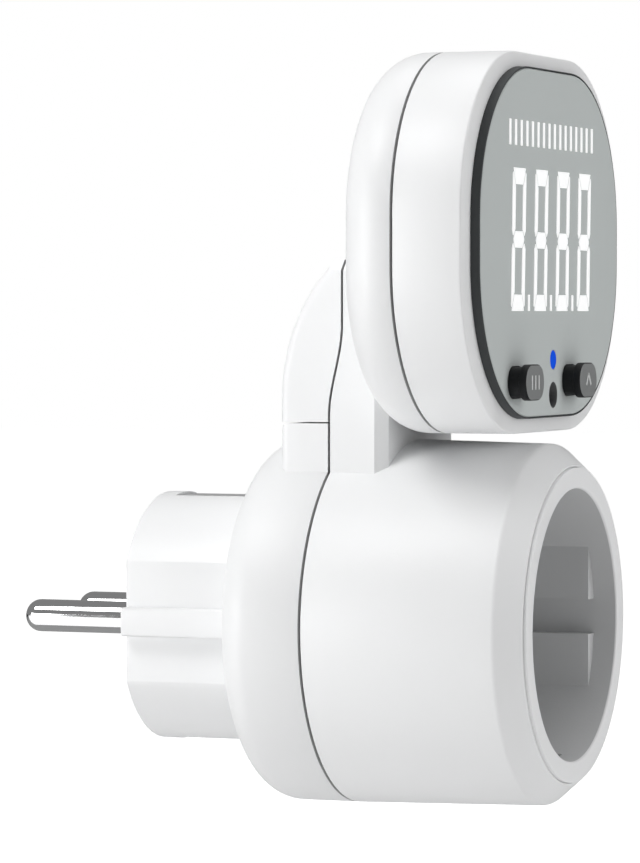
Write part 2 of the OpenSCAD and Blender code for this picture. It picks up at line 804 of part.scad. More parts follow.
module shutter_disc() color("ivory") front_view() difference() {
    translate([0, 0, shutter_rear_z]) cylinder(h = shutter_t, r = shutter_r, $fn = 128);
    cylinder(h = lip_z, r = post_r + pivot_clearance);
    translate([0, 0, shutter_rear_z - cut]) cylinder(h = cut + spring_pocket_depth, r = spring_pocket_r);
    for (turn = [0, 180]) rotate(turn) {
        // hole that comes under the pin hole when the disc has turned
        rotate(-shutter_angle) translate([pin_x, 0, 0]) cylinder(h = lip_z, r = shutter_hole_r);
        // ramp that a pin slides down to turn the disc
        translate([pin_x, 0, shutter_front_z]) rotate([ramp_angle, 0, 0])
            translate([-ramp_w / 2, -ramp_w / 2, 0]) cube([ramp_w, ramp_w, shutter_t]);
    }
}

module shutter_spring() color("silver") front_view() {
    coil_z = shutter_rear_z + spring_wire_d / 2;
    for (turn = [0 : spring_turns - 1]) translate([0, 0, coil_z + turn * spring_pitch])
        rotate_extrude() translate([spring_r, 0]) circle(d = spring_wire_d, $fn = 24);
    translate([spring_r, 0, coil_z]) rotate([-90, 0, 0])
        cylinder(h = spring_leg, d = spring_wire_d, $fn = 24);
}

module shutter_retainer() color("gainsboro") front_view() translate([0, 0, retainer_rear_z]) difference() {
    cylinder(h = retainer_t, r = insert_outer_r, $fn = 128);
    translate([0, 0, -cut]) {
        cylinder(h = retainer_t + 2 * cut, r = post_r + fit_clearance);
        at_pins() cylinder(h = retainer_t + 2 * cut, d = pin_hole_d + 2 * moving_clearance);
    }
}

// Spring clip behind one pin hole: a base on the pin's tail and two leaves that grip the pin
module contact_clip() {
    grip = pin_d / 2 + contact_leaf_t / 2 + pivot_clearance;
    foot = grip + contact_leaf_t;
    translate([-contact_w / 2, -foot, tail_end_z]) cube([contact_w, 2 * foot, contact_base_t]);
    for (side = [0, 1]) mirror([0, side, 0]) bent_strip([
        [tail_end_z + contact_base_t / 2, foot - contact_leaf_t / 2],
        [tail_end_z + contact_leaf_rise, foot],
        [contact_entry_z - contact_mouth, grip], [contact_entry_z, foot + contact_leaf_t],
    ], contact_leaf_t, contact_w);
}

module live_contact() color("goldenrod") front_view() translate([-pin_x, 0, 0]) contact_clip();

module neutral_contact() color("goldenrod") front_view() translate([pin_x, 0, 0]) contact_clip();

module metering_board() color("darkgreen") front_view() translate([0, 0, rear_inner_z]) difference() {
    cylinder(h = board_t, r = board_r);
    at_pins() translate([0, 0, -cut]) cylinder(h = board_t + 2 * cut, d = pin_tail_d + 2 * fit_clearance);
}

module film_capacitor() color("gold") front_view()
    translate([capacitor_x, capacitor_y, board_top_z]) plate(film_w, film_h, film_corner_r, 0, film_depth);

module filter_capacitor() color("black") front_view()
    translate([0, -capacitor_y, board_top_z]) cylinder(h = filter_depth, d = filter_d);

module shunt_resistor() color("peru") front_view() bent_strip([
    [board_top_z, -shunt_reach], [board_top_z + shunt_rise, -shunt_reach],
    [board_top_z + shunt_rise, shunt_reach], [board_top_z, shunt_reach],
], shunt_t, shunt_w);

module meter_chip() color("black") front_view()
    translate([-meter_chip_w / 2, -meter_chip_h, rear_inner_z - chip_t])
        cube([meter_chip_w, meter_chip_h, chip_t]);

module board_connector() color("ivory") front_view()
    translate([connector_x - board_connector_w / 2, connector_y - board_connector_h / 2, board_top_z])
        cube([board_connector_w, board_connector_h, connector_h]);

// Flat cable: up past the earth strip, folded across to the middle, then forward into the head
module wire_harness() color("dimgray") front_view() {
    riser_z = seam_z + riser_gap;
    start_z = board_top_z + connector_h;
    translate([connector_x, 0, 0]) bent_strip([
        [start_z, connector_y], [start_z + cable_bend, connector_y],
        [riser_z, body_inner_r - cable_headroom], [riser_z, cable_hole_y + cable_w / 2],
    ], cable_t, cable_w);
    translate([-cable_w / 2, cable_hole_y - cable_w / 2, riser_z])
        cube([connector_x + cable_w, cable_w, cable_t]);
    translate([-cable_w / 2, cable_hole_y - cable_t / 2, riser_z])
        cube([cable_w, cable_t, head_board_z - connector_h - riser_z]);
}

module casing_screws() color("silver") front_view()
    at_casing_screws() translate([0, 0, body_rear_z + casing_head_sink])
        screw(seam_z + front_boss_length - body_rear_z - casing_head_sink - wall);

module neck_screws() color("silver") front_view()
    at_neck_screws() translate([0, 0, head_back_z - pad_wall])
        screw(neck_screw_end_z - head_back_z + pad_wall);

// Pieces of the head

// Outer form of the rear shell, drawn inwards by an inset
module shell_form(inset, depth) translate([0, head_y, head_back_z + inset]) pillow_slab(
    head_w - 2 * inset, head_h - 2 * inset, head_corner_r - inset, depth, shell_edge_r - inset);

// Plate with the head's outline, drawn inwards by an inset
module head_plate(inset, z0, z1) translate([0, head_y, 0])
    plate(head_w - 2 * inset, head_h - 2 * inset, head_corner_r - inset, z0, z1);

// Plate with the panel's outline, drawn inwards by an inset
module panel_plate(inset, z0, z1) translate([0, head_y, 0])
    plate(panel_w - 2 * inset, panel_h - 2 * inset, panel_corner_r - inset, z0, z1);

module head_rear_shell() color("white") front_view() difference() {
    union() {
        difference() {
            shell_form(0, shell_depth - seam_gap / 2);
            shell_form(wall, shell_depth);
        }
        at_head_screws() translate([0, 0, head_back_z + wall])
            cylinder(h = head_board_z - head_back_z - wall, r = head_boss_r);
        at_neck_screws() translate([0, 0, head_back_z + wall / 2])
            cylinder(h = neck_screw_end_z - head_back_z, r = boss_r);
    }
    at_head_screws() {
        translate([0, 0, head_back_z - cut])
            cylinder(h = head_screw_sink + cut, d = screw_head_d + 2 * screw_clearance);
        cylinder(h = head_board_z + cut, d = screw_d + 2 * screw_clearance);
    }
    at_neck_screws() translate([0, 0, head_back_z - cut])
        cylinder(h = neck_screw_end_z - head_back_z + cut, d = screw_d + 2 * thread_clearance);
    translate([0, cable_hole_y, head_back_z - cut]) cylinder(h = wall + 2 * cut, d = cable_hole_d);
}

module head_bezel() color("white") front_view() difference() {
    union() {
        difference() {
            translate([0, head_y, head_front_z]) mirror([0, 0, 1])
                pillow_slab(head_w, head_h, head_corner_r, bezel_depth - seam_gap / 2, bezel_edge_r);
            head_plate(wall, head_seam_z - cut, bezel_wall_z);
            panel_plate(bezel_ledge, head_seam_z, beyond_z);
            panel_plate(-fit_clearance, bezel_ledge_z, beyond_z);
        }
        // bosses, each carried by a web from the side wall
        for (x = [-1, 1], y = [-1, 1])
            translate([x * head_boss_x, head_y + y * head_boss_y, head_board_top_z]) {
                cylinder(h = bezel_boss_h, r = boss_r);
                rotate(atan2(y * sin(head_boss_angle), x * cos(head_boss_angle)))
                    translate([0, -boss_r / 2, 0]) cube([boss_web, boss_r, bezel_boss_h]);
            }
    }
    at_head_screws() cylinder(h = head_screw_end_z, d = screw_d + 2 * thread_clearance);
}

module panel_frame() color("dimgray") front_view() difference() {
    panel_plate(0, bezel_ledge_z, panel_face_z - panel_step);
    panel_plate(panel_rim, panel_back_z, beyond_z);
    panel_plate(panel_ledge, bezel_ledge_z - cut, beyond_z);
}

module display_panel() color("darkgray") front_view() difference() {
    panel_plate(panel_rim + panel_clearance, panel_back_z, panel_face_z);
    for (x = [mode_x, up_x]) translate([x, button_y, panel_back_z - cut])
        linear_extrude(panel_t + 2 * cut)
            pill(button_stem_w + 2 * moving_clearance, button_stem_h + 2 * moving_clearance);
    translate([middle_x, reset_y, 0]) cylinder(h = beyond_z, d = reset_hole_d);
    translate([middle_x, led_y, 0]) cylinder(h = beyond_z, d = led_d + 2 * pivot_clearance);
}

// Outline of a figure's bar, mirrored by two signs and leaned
function bar_outline(points, sign_x, sign_y) =
    let (last = len(points) - 1)
    [for (i = [0 : last])
        let (point = points[sign_x * sign_y > 0 ? i : last - i])
        [sign_x * point[0] + digit_lean * sign_y * point[1], sign_y * point[1]]];

// Bars of one figure, drawn about its middle
module figure() {
    half_w = digit_w / 2;
    half_h = digit_h / 2;
    half_bar = digit_bar / 2;
    inner = half_w - digit_post;
    level_bar = [
        [-half_w + digit_gap, half_h], [-inner, half_h - digit_bar],
        [inner, half_h - digit_bar], [half_w - digit_gap, half_h],
    ];
    middle_bar = [
        [-half_w + 2 * digit_gap, 0], [-inner, -half_bar], [inner, -half_bar],
        [half_w - 2 * digit_gap, 0], [inner, half_bar], [-inner, half_bar],
    ];
    upright_bar = [
        [-half_w, half_h - digit_shoulder], [-half_w, digit_waist],
        [-half_w + 1.5 * digit_gap, digit_tip], [-inner, half_bar + digit_gap],
        [-inner, half_h - digit_bar - digit_gap], [-inner - digit_gap, half_h - digit_bar],
        [-half_w + (digit_post - digit_gap) / 4, half_h - digit_bar / 4],
    ];
    polygon(bar_outline(middle_bar, 1, 1));
    for (sign_y = [-1, 1]) {
        polygon(bar_outline(level_bar, 1, sign_y));
        for (sign_x = [-1, 1]) polygon(bar_outline(upright_bar, sign_x, sign_y));
    }
}

module display_digits() color("white") front_view() translate([digit_mid_x, digit_mid_y, panel_face_z])
    linear_extrude(print_t) for (place = [0 : 3]) {
        translate([(place - 1.5) * digit_pitch, 0]) figure();
        if (place < 3) translate([(place - 1.5) * digit_pitch + digit_w / 2 + point_gap, -digit_h / 2])
            square([point_w, digit_bar]);
    }

module bar_scale() color("white") front_view() translate([digit_mid_x, scale_y, panel_face_z])
    linear_extrude(print_t) for (i = [0 : scale_bars - 1])
        translate([(i - (scale_bars - 1) / 2) * scale_w / scale_bars, 0])
            square([scale_bar_w, scale_h], center = true);

module led_lens() color("blue") front_view() translate([middle_x, led_y, panel_back_z - panel_t]) {
    cylinder(h = panel_face_z + print_t - panel_back_z + panel_t, d = led_d);
    cylinder(h = panel_t, d = led_d + 2 * lens_flange);
}

// Push button with its cap, stem, stop bar and rod
module push_button(x) translate([x, button_y, 0]) {
    cap_z = panel_face_z + button_rise - button_cap_t;
    stop_z = panel_back_z - fit_clearance - button_stop_t;
    translate([0, 0, cap_z]) linear_extrude(button_cap_t) pill(button_w, button_h);
    translate([0, 0, stop_z]) linear_extrude(cap_z - stop_z) pill(button_stem_w, button_stem_h);
    translate([-button_stem_w / 2 - button_stop_reach, -button_stop_w / 2, stop_z])
        cube([button_stem_w + 2 * button_stop_reach, button_stop_w, button_stop_t]);
    translate([0, 0, plunger_top_z]) cylinder(h = cap_z - plunger_top_z, r = button_rod_r);
}

module mode_button() color("dimgray") front_view() push_button(mode_x);

module up_button() color("dimgray") front_view() push_button(up_x);

module reset_button() color("black") front_view() translate([middle_x, reset_y, plunger_top_z]) {
    stop_z = panel_back_z - fit_clearance - button_stop_t - plunger_top_z;
    cylinder(h = panel_face_z - reset_sink - plunger_top_z, d = reset_hole_d - 2 * moving_clearance);
    translate([-reset_hole_d / 2 - button_stop_reach, -button_stop_w / 2, stop_z])
        cube([reset_hole_d + 2 * button_stop_reach, button_stop_w, button_stop_t]);
}

// Plunger of one switch
module plunger(x, y) translate([x, y, switch_top_z - plunger_sink])
    cylinder(h = plunger_top_z - switch_top_z + plunger_sink, r = plunger_r);

module mode_plunger() color("black") front_view() plunger(mode_x, button_y);

module up_plunger() color("black") front_view() plunger(up_x, button_y);

module reset_plunger() color("black") front_view() plunger(middle_x, reset_y);

module tact_switches() color("silver") front_view()
    for (place = [[mode_x, button_y], [up_x, button_y], [middle_x, reset_y]])
        translate([place[0], place[1], head_board_top_z]) difference() {
            translate([-switch_w / 2, -switch_w / 2, 0]) cube([switch_w, switch_w, switch_h]);
            translate([0, 0, switch_h - plunger_sink - button_travel - moving_clearance])
                cylinder(h = switch_h, r = plunger_r + moving_clearance);
        }

module head_board() color("darkgreen") front_view() difference() {
    head_plate(wall + board_margin, head_board_z, head_board_top_z);
    at_head_screws() cylinder(h = beyond_z, d = screw_d + 2 * screw_clearance);
}

module display_module() color("dimgray") front_view() translate([digit_mid_x, digit_mid_y, head_board_top_z])
    plate(module_w, module_h, module_corner_r, 0, panel_back_z - head_board_top_z - fit_clearance);

module indicator_led() color("lightblue") front_view() translate([middle_x, led_y, head_board_top_z]) {
    dome_h = panel_back_z - panel_t - fit_clearance - led_d / 2 - head_board_top_z;
    cylinder(h = dome_h, d = led_d);
    translate([0, 0, dome_h]) sphere(d = led_d);
}

module control_chip() color("black") front_view()
    translate([control_chip_x, head_y, head_board_z - chip_t])
        cube([control_chip_w, control_chip_w, chip_t]);

module head_connector() color("ivory") front_view()
    translate([-head_connector_w / 2, cable_hole_y - head_connector_h / 2, head_board_z - connector_h])
        cube([head_connector_w, head_connector_h, connector_h]);

module head_screws() color("silver") front_view()
    at_head_screws() translate([0, 0, head_back_z + head_screw_sink])
        screw(head_screw_end_z - head_back_z - head_screw_sink);

rear_casing();
front_casing();
neck_cover();
socket_insert();
shutter_disc();
shutter_spring();
shutter_retainer();
plug_pins();
pin_carrier();
earth_strips();
live_contact();
neutral_contact();
metering_board();
film_capacitor();
filter_capacitor();
shunt_resistor();
meter_chip();
board_connector();
wire_harness();
casing_screws();
neck_screws();
head_rear_shell();
head_bezel();
panel_frame();
display_panel();
display_digits();
bar_scale();
led_lens();
mode_button();
up_button();
reset_button();
mode_plunger();
up_plunger();
reset_plunger();
tact_switches();
head_board();
display_module();
indicator_led();
control_chip();
head_connector();
head_screws();
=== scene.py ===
"""Looks of a plug-through energy monitor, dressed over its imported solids.

Sizes are millimetres until they are placed. In the words of this script x runs across, s runs forward
from the plug face to the socket and z runs up, so a placed point is (x, -s, z) in metres.
"""

import json
import math

import bmesh
import bpy
from mathutils import Matrix, Vector


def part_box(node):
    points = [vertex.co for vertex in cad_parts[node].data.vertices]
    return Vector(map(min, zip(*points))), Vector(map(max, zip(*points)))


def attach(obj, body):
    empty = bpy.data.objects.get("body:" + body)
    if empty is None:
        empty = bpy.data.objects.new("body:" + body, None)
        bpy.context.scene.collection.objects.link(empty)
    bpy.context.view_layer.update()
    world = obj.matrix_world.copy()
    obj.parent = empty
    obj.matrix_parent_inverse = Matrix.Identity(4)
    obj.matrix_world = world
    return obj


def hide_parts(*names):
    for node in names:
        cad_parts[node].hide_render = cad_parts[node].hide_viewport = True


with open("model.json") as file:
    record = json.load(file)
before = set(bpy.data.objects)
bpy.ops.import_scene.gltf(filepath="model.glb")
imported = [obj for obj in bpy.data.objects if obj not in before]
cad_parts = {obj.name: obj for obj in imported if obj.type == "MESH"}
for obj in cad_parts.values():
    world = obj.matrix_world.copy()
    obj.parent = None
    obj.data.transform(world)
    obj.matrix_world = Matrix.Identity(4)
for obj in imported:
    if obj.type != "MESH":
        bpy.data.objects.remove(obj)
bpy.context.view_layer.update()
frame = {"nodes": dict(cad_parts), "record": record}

MM = 0.001
TURN = 2 * math.pi
HOUSING = "housing"
SPIN_STEPS = 160
FINE_STEPS = 64
HOLE_STEPS = 48
ROD_STEPS = 32
CORNER_STEPS = 28
# Distance below which two places count as one, below which points merge, and reach of a cutter past its cut
TOUCH = 0.02
MERGE = 0.002
CUT_OVER = 1.0


def span(node):
    """Lowest and highest corner of a solid, as (x, s, z) in millimetres."""
    low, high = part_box(node)
    return Vector((low[0], -high[1], low[2])) / MM, Vector((high[0], -low[1], high[2])) / MM


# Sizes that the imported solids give
rear_high = span("rear_casing")[1]
front_high = span("front_casing")[1]
insert_low, insert_high = span("socket_insert")
cover_low, cover_high = span("neck_cover")
bezel_low, bezel_high = span("head_bezel")
shell_low = span("head_rear_shell")[0]
frame_low, frame_high = span("panel_frame")
panel_low, panel_high = span("display_panel")
mode_low, mode_high = span("mode_button")
up_low, up_high = span("up_button")
reset_low, reset_high = span("reset_button")
lens_low, lens_high = span("led_lens")
pins_low = span("plug_pins")[0]
screws_low, screws_high = span("head_screws")

BODY_R = rear_high.x
HEAD_W = bezel_high.x - bezel_low.x
HEAD_H = bezel_high.z - bezel_low.z
HEAD_MID_Z = (bezel_high.z + bezel_low.z) / 2
PANEL_W = frame_high.x - frame_low.x
PANEL_H = frame_high.z - frame_low.z
LIP_S = insert_high.y
LIP_R = insert_high.x
BEVEL_END_S = front_high.y
NECK_HALF_W = cover_high.x
NECK_TOP_Z = cover_high.z
NECK_REAR_S = cover_low.y
HEAD_BACK_S = shell_low.y
SPLIT_GAP = 0.2
SPLIT_Z = rear_high.z + SPLIT_GAP / 2

# Sizes of the plug and the body
PLUG_R = 18.45
PLUG_FLAT = 16.2
PLUG_RIB = 2.1
PLUG_EDGE = 0.5
PLUG_FLAT_EDGE = 0.35
RIB_EDGE = 0.3
RIB_SIDE_EDGE = 0.25
RIB_ROOT = 1.0
BODY_REAR_S = 17.9
SEAM_S = 31.4
SEAM_GAP = 0.36
SEAM_EDGE = 0.12
# Depth from a joint's end face within which the painted seam shade reaches
SEAM_SHADE_DEPTH = 0.05
WALL = 2.0
REAR_ROUND = 5.0
BODY_FRONT_R = 26.2
BEVEL_LENGTH = 3.4
BEVEL_EDGE = 0.35
BEVEL_RIM = 0.4
PIN_R = 2.4
PIN_TIP = 0.15
PIN_X = 9.5
PIN_RECESS_R = 3.6
PIN_RECESS = 0.4
SCREW_RING_R = 21.25
SCREW_R = 2.3
SCREW_HOLE_R = 2.5
SCREW_SINK = 2.0
EARTH_W = 8.0
EARTH_FLOOR_Z = 17.1
EARTH_START_S = 2.8

# Sizes of the socket
SOCKET_R = 19.75
SOCKET_FLOOR_S = 46.5
SOCKET_FLOOR_T = 2.5
INSERT_R = 21.2
LIP_EDGE = 0.35
LIP_RIM = 0.15
FLANGE_S = 62.0
FLANGE_T = 2.5
INSERT_TAIL = 1.6
FLOOR_EDGE = 0.5
SLOT_GAP = 0.3
SLOT_FOOT = 0.1
FLAT_X = 16.8
FLAT_END_S = 60.4
FLAT_END_EDGE = 0.035
FLAT_ROOT = 0.5
GROOVE = 2.6
PIN_HOLE_R = 2.8

# Sizes of the neck
NECK_EDGE = 1.4
NECK_CHAMFER = 1.6
NECK_BACK_R = 28.0
NECK_CURVE_Z = 33.0
NECK_SWEEP = 48.0
NECK_FRONT_S = HEAD_BACK_S
NECK_ROOT_Z = 22.0
SEAM_SHIFT = 2.0
SEAM_LOW_Z = 30.3
SEAM_HIGH_Z = 43.3

# Sizes of the head
HEAD_CORNER = 23.6
SHELL_ROUND = 6.3
BEZEL_ROUND = 0.3
PANEL_CORNER = 22.0
PANEL_RIM = 0.2
PANEL_ROUND = 0.4
PANEL_SEAT = 0.9
PANEL_LEDGE = 1.2
PANEL_WALL = 1.6
RIM_EDGE = 0.22
FACE_GAP = 0.03
FRAME_GAP = 0.03
POCKET_GAP = 0.1
HEAD_SCREW_X = screws_high.x - SCREW_R
HEAD_SCREW_Z = (screws_high.z - screws_low.z) / 2 - SCREW_R
HEAD_SCREW_SINK = 3.0
BOSS_WALL = 1.0

# Sizes of the keys and the indicator
CAP_W = 8.2
CAP_H = 5.1
CAP_T = 1.15
CAP_BITE = 0.2
CAP_BACK_EDGE = 0.15
CAP_FRONT_EDGE = 0.28
KEY_ROD_R = 1.5
STEM_W = 7.0
STEM_H = 4.4
STEM_GAP = 0.12
STEM_ROOT = 1.1
MARK_W = 0.5
MARK_H = 2.0
MARK_T = 0.04
MARK_PITCH = 1.5
MARK_LEAN = 32.0
RESET_HOLE_R = 1.9
LENS_R = 1.38
LENS_GAP = 0.05
LENS_ROOT = 1.3
LENS_EDGE = 0.3


def place(x, s, z):
    """Placed point, in metres."""
    return Vector((x, -s, z)) * MM


# Shapes


def spun(profile):
    """Shell from (radius, s) points turned about the plug axis, shut by its first point or by the axis."""
    bm = bmesh.new()
    verts = [bm.verts.new(place(radius, s, 0)) for radius, s in profile]
    edges = [bm.edges.new(pair) for pair in zip(verts, verts[1:])]
    if profile[0][0] > 0:
        edges.append(bm.edges.new((verts[-1], verts[0])))
    bmesh.ops.spin(
        bm, geom=verts + edges, cent=(0, 0, 0), axis=(0, 1, 0), dvec=(0, 0, 0),
        angle=TURN, steps=SPIN_STEPS, use_merge=True,
    )
    bmesh.ops.remove_doubles(bm, verts=bm.verts, dist=MERGE * MM)
    bmesh.ops.recalc_face_normals(bm, faces=bm.faces)
    return bm


def rod(x, z, radius, s_start, s_end, segments=SPIN_STEPS):
    """Closed cylinder along s."""
    bm = bmesh.new()
    stand = Matrix.Translation(place(x, (s_start + s_end) / 2, z)) @ Matrix.Rotation(math.pi / 2, 4, "X")
    bmesh.ops.create_cone(
        bm, cap_ends=True, segments=segments, radius1=radius * MM, radius2=radius * MM,
        depth=(s_end - s_start) * MM, matrix=stand,
    )
    return bm


def block(low, high):
    """Closed box between two (x, s, z) corners."""
    bm = bmesh.new()
    bmesh.ops.create_cube(bm, size=1)
    bmesh.ops.scale(bm, vec=Vector(high[i] - low[i] for i in range(3)) * MM, verts=bm.verts)
    middle = [(low[i] + high[i]) / 2 for i in range(3)]
    bmesh.ops.translate(bm, vec=place(*middle), verts=bm.verts)
    return bm


def rounded_loop(bm, width, height, corner, s, x, z):
    """Edges of an upright rounded rectangle at distance s, in an empty bmesh."""
    signs = ((-1, -1), (1, -1), (1, 1), (-1, 1))
    verts = [bm.verts.new(place(x + i * width / 2, s, z + j * height / 2)) for i, j in signs]
    bm.faces.new(verts)
    bmesh.ops.bevel(
        bm, geom=verts, offset=corner * MM, segments=CORNER_STEPS, profile=0.5,
        affect="VERTICES", material=-1,
    )
    bmesh.ops.delete(bm, geom=bm.faces[:], context="FACES_ONLY")
    return bm.edges[:]


def corner_shift(offset, size, corner, new_size, new_corner):
    """Moves a point's offset from the middle of one rounded side to that of another."""
    sign = math.copysign(1, offset)
    turn = (offset - sign * (size / 2 - corner)) / corner
    return sign * (new_size / 2 - new_corner) + turn * new_corner


def drawn_out(bm, loop, ring, new_ring, x, z):
    """Extrudes a ring's edges to the next rounded rectangle and gives the new edges."""
    fresh = bmesh.ops.extrude_edge_only(bm, edges=loop)["geom"]
    verts = {item for item in fresh if isinstance(item, bmesh.types.BMVert)}
    width, height, corner = ring[:3]
    new_width, new_height, new_corner, s = new_ring[:4]
    for vert in verts:
        new_x = corner_shift(vert.co.x / MM - x, width, corner, new_width, new_corner)
        new_z = corner_shift(vert.co.z / MM - z, height, corner, new_height, new_corner)
        vert.co = place(x + new_x, s, z + new_z)
    return [item for item in fresh if isinstance(item, bmesh.types.BMEdge) and verts.issuperset(item.verts)]


def ends_of(edges):
    """Points at the ends of edges."""
    return list({vert for edge in edges for vert in edge.verts})


def stacked(rings, ring_shut=False, x=0.0, z=HEAD_MID_Z):
    """Shell through rounded rectangles (width, height, corner, s, rounding, steps) in their order."""
    bm = bmesh.new()
    loops = [rounded_loop(bm, *rings[0][:4], x=x, z=z)]
    for ring, new_ring in zip(rings, rings[1:]):
        loops.append(drawn_out(bm, loops[-1], ring, new_ring, x, z))
    if ring_shut:
        first = ends_of(loops[0])
        last = ends_of(drawn_out(bm, loops[-1], rings[-1], rings[0], x, z))
        doubles = bmesh.ops.find_doubles(bm, verts=first + last, keep_verts=first, dist=TOUCH * MM)
        bmesh.ops.weld_verts(bm, targetmap=doubles["targetmap"])
    else:
        for loop in (loops[0], loops[-1]):
            bmesh.ops.contextual_create(bm, geom=loop)
    bmesh.ops.recalc_face_normals(bm, faces=bm.faces)
    for loop, ring in zip(loops, rings):
        if ring[4]:
            soften(bm, loop, ring[4], ring[5])
    return bm


def soften(bm, edges, amount, steps, clamp=True):
    """Rounds edges, or chamfers them with one step."""
    bmesh.ops.bevel(
        bm, geom=edges, offset=amount * MM, segments=steps, profile=0.5, affect="EDGES",
        material=-1, clamp_overlap=clamp,
    )


def edges_where(bm, test):
    """Edges whose two ends both pass a test on (x, s, z) millimetres."""
    def passes(vert):
        return test(vert.co.x / MM, -vert.co.y / MM, vert.co.z / MM)
    return [edge for edge in bm.edges if all(passes(vert) for vert in edge.verts)]


def near(value, goal):
    return abs(value - goal) < TOUCH


def ring_edges(bm, radius, s):
    """Edges of one ring of a spun shape."""
    return edges_where(bm, lambda x, t, z: near(math.hypot(x, z), radius) and near(t, s))


def trim(bm, point, outward):
    """Cuts off what lies beyond a plane and closes the cut."""
    cut = bmesh.ops.bisect_plane(
        bm, geom=bm.verts[:] + bm.edges[:] + bm.faces[:], plane_co=place(*point),
        plane_no=(outward[0], -outward[1], outward[2]), clear_outer=True,
    )
    rim = [part for part in cut["geom_cut"] if isinstance(part, bmesh.types.BMEdge)]
    bmesh.ops.contextual_create(bm, geom=rim)


def divide(bm, point, facing):
    """Divides faces along a plane, so that no flat face goes round a hole that is cut there later."""
    bmesh.ops.bisect_plane(
        bm, geom=bm.verts[:] + bm.edges[:] + bm.faces[:], plane_co=place(*point), plane_no=facing,
    )


def side_outline(bm, parts):
    """Side view in the plane x = 0 from points (s, z) and arcs (centre s, centre z, degrees, steps)."""
    last = None
    first = None
    for part in parts:
        if len(part) == 2:
            vert = bm.verts.new(place(0, *part))
            if last:
                bm.edges.new((last, vert))
            last = vert
        else:
            centre_s, centre_z, degrees, steps = part
            swept = bmesh.ops.spin(
                bm, geom=[last], cent=place(0, centre_s, centre_z), axis=(1, 0, 0), dvec=(0, 0, 0),
                angle=math.radians(degrees), steps=steps,
            )
            last = next(g for g in swept["geom_last"] if isinstance(g, bmesh.types.BMVert))
        first = first or last
    bm.edges.new((last, first))


def across(parts, half_width):
    """Solid with a side view, extruded across x."""
    bm = bmesh.new()
    side_outline(bm, parts)
    made = bmesh.ops.contextual_create(bm, geom=bm.edges[:])
    bmesh.ops.translate(bm, vec=place(-half_width, 0, 0), verts=bm.verts)
    grown = bmesh.ops.extrude_face_region(bm, geom=made["faces"])
    fresh = [g for g in grown["geom"] if isinstance(g, bmesh.types.BMVert)]
    bmesh.ops.translate(bm, vec=place(2 * half_width, 0, 0), verts=fresh)
    bmesh.ops.holes_fill(bm, edges=[edge for edge in bm.edges if edge.is_boundary])
    bmesh.ops.recalc_face_normals(bm, faces=bm.faces)
    return bm


def joined(*parts):
    """One bmesh from several, which are freed."""
    bm = parts[0]
    for part in parts[1:]:
        carrier = bpy.data.meshes.new("carrier")
        part.to_mesh(carrier)
        part.free()
        bm.from_mesh(carrier)
        bpy.data.meshes.remove(carrier)
    return bm


def loose_object(name, bm):
    """Object that only lasts while a shape is being cut."""
    mesh = bpy.data.meshes.new(name)
    bm.to_mesh(mesh)
    bm.free()
    thing = bpy.data.objects.new(name, mesh)
    bpy.context.scene.collection.objects.link(thing)
    return thing


def cut_out(bm, cutter):
    """The first shape without the second."""
    body = loose_object("cut_body", bm)
    tool = loose_object("cut_tool", cutter)
    change = body.modifiers.new("cut", "BOOLEAN")
    change.operation = "DIFFERENCE"
    change.solver = "EXACT"
    change.object = tool
    result = bmesh.new()
    result.from_object(body, bpy.context.evaluated_depsgraph_get())
    for thing in (body, tool):
        mesh = thing.data
        bpy.data.objects.remove(thing)
        bpy.data.meshes.remove(mesh)
    return result


def piece(name, bm, material, body=HOUSING, stands_for=(), crease=32):
    """Finished piece on its body, smooth except at edges sharper than the crease angle."""
    bmesh.ops.remove_doubles(bm, verts=bm.verts, dist=MERGE * MM)
    bmesh.ops.recalc_face_normals(bm, faces=bm.faces)
    for face in bm.faces:
        face.smooth = True
    for edge in bm.edges:
        edge.smooth = edge.calc_face_angle(0.0) < math.radians(crease)
    mesh = bpy.data.meshes.new(name)
    bm.to_mesh(mesh)
    bm.free()
    mesh.materials.append(material)
    thing = bpy.data.objects.new(name, mesh)
    bpy.context.scene.collection.objects.link(thing)
    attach(thing, body)
    if stands_for:
        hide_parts(*stands_for)
    return thing


def tint(thing, material, test):
    """Gives another material to the faces whose middle (x, s, z) and facing pass a test: a real finish, or
    painted shade in joints and hollows.
    """
    thing.data.materials.append(material)
    number = len(thing.data.materials) - 1
    for polygon in thing.data.polygons:
        middle_point = Vector((polygon.center.x, -polygon.center.y, polygon.center.z)) / MM
        if test(middle_point, polygon.normal):
            polygon.material_index = number


# Materials

CLOUD_SCALE = 55
LINE_STRETCH = 0.04
LINE_TINT = 0.16
LINE_GLOSS = 0.14
RELIEF = 0.05


def group_shell(name, inputs, outputs):
    """Empty node group with named sockets, and its input and output nodes."""
    tree = bpy.data.node_groups.new(name, "ShaderNodeTree")
    for label, kind in inputs:
        tree.interface.new_socket(label, in_out="INPUT", socket_type=kind)
    for label, kind in outputs:
        tree.interface.new_socket(label, in_out="OUTPUT", socket_type=kind)
    return tree, tree.nodes.new("NodeGroupInput"), tree.nodes.new("NodeGroupOutput")


def noise(tree, scale, detail, vector):
    node = tree.nodes.new("ShaderNodeTexNoise")
    node.inputs["Scale"].default_value = scale
    node.inputs["Detail"].default_value = detail
    tree.links.new(vector, node.inputs["Vector"])
    return node


def math_node(tree, operation, first, second):
    """Math node; an input is a socket or a number."""
    node = tree.nodes.new("ShaderNodeMath")
    node.operation = operation
    for slot, value in zip(node.inputs, (first, second)):
        if isinstance(value, (int, float)):
            slot.default_value = value
        else:
            tree.links.new(value, slot)
    return node.outputs[0]


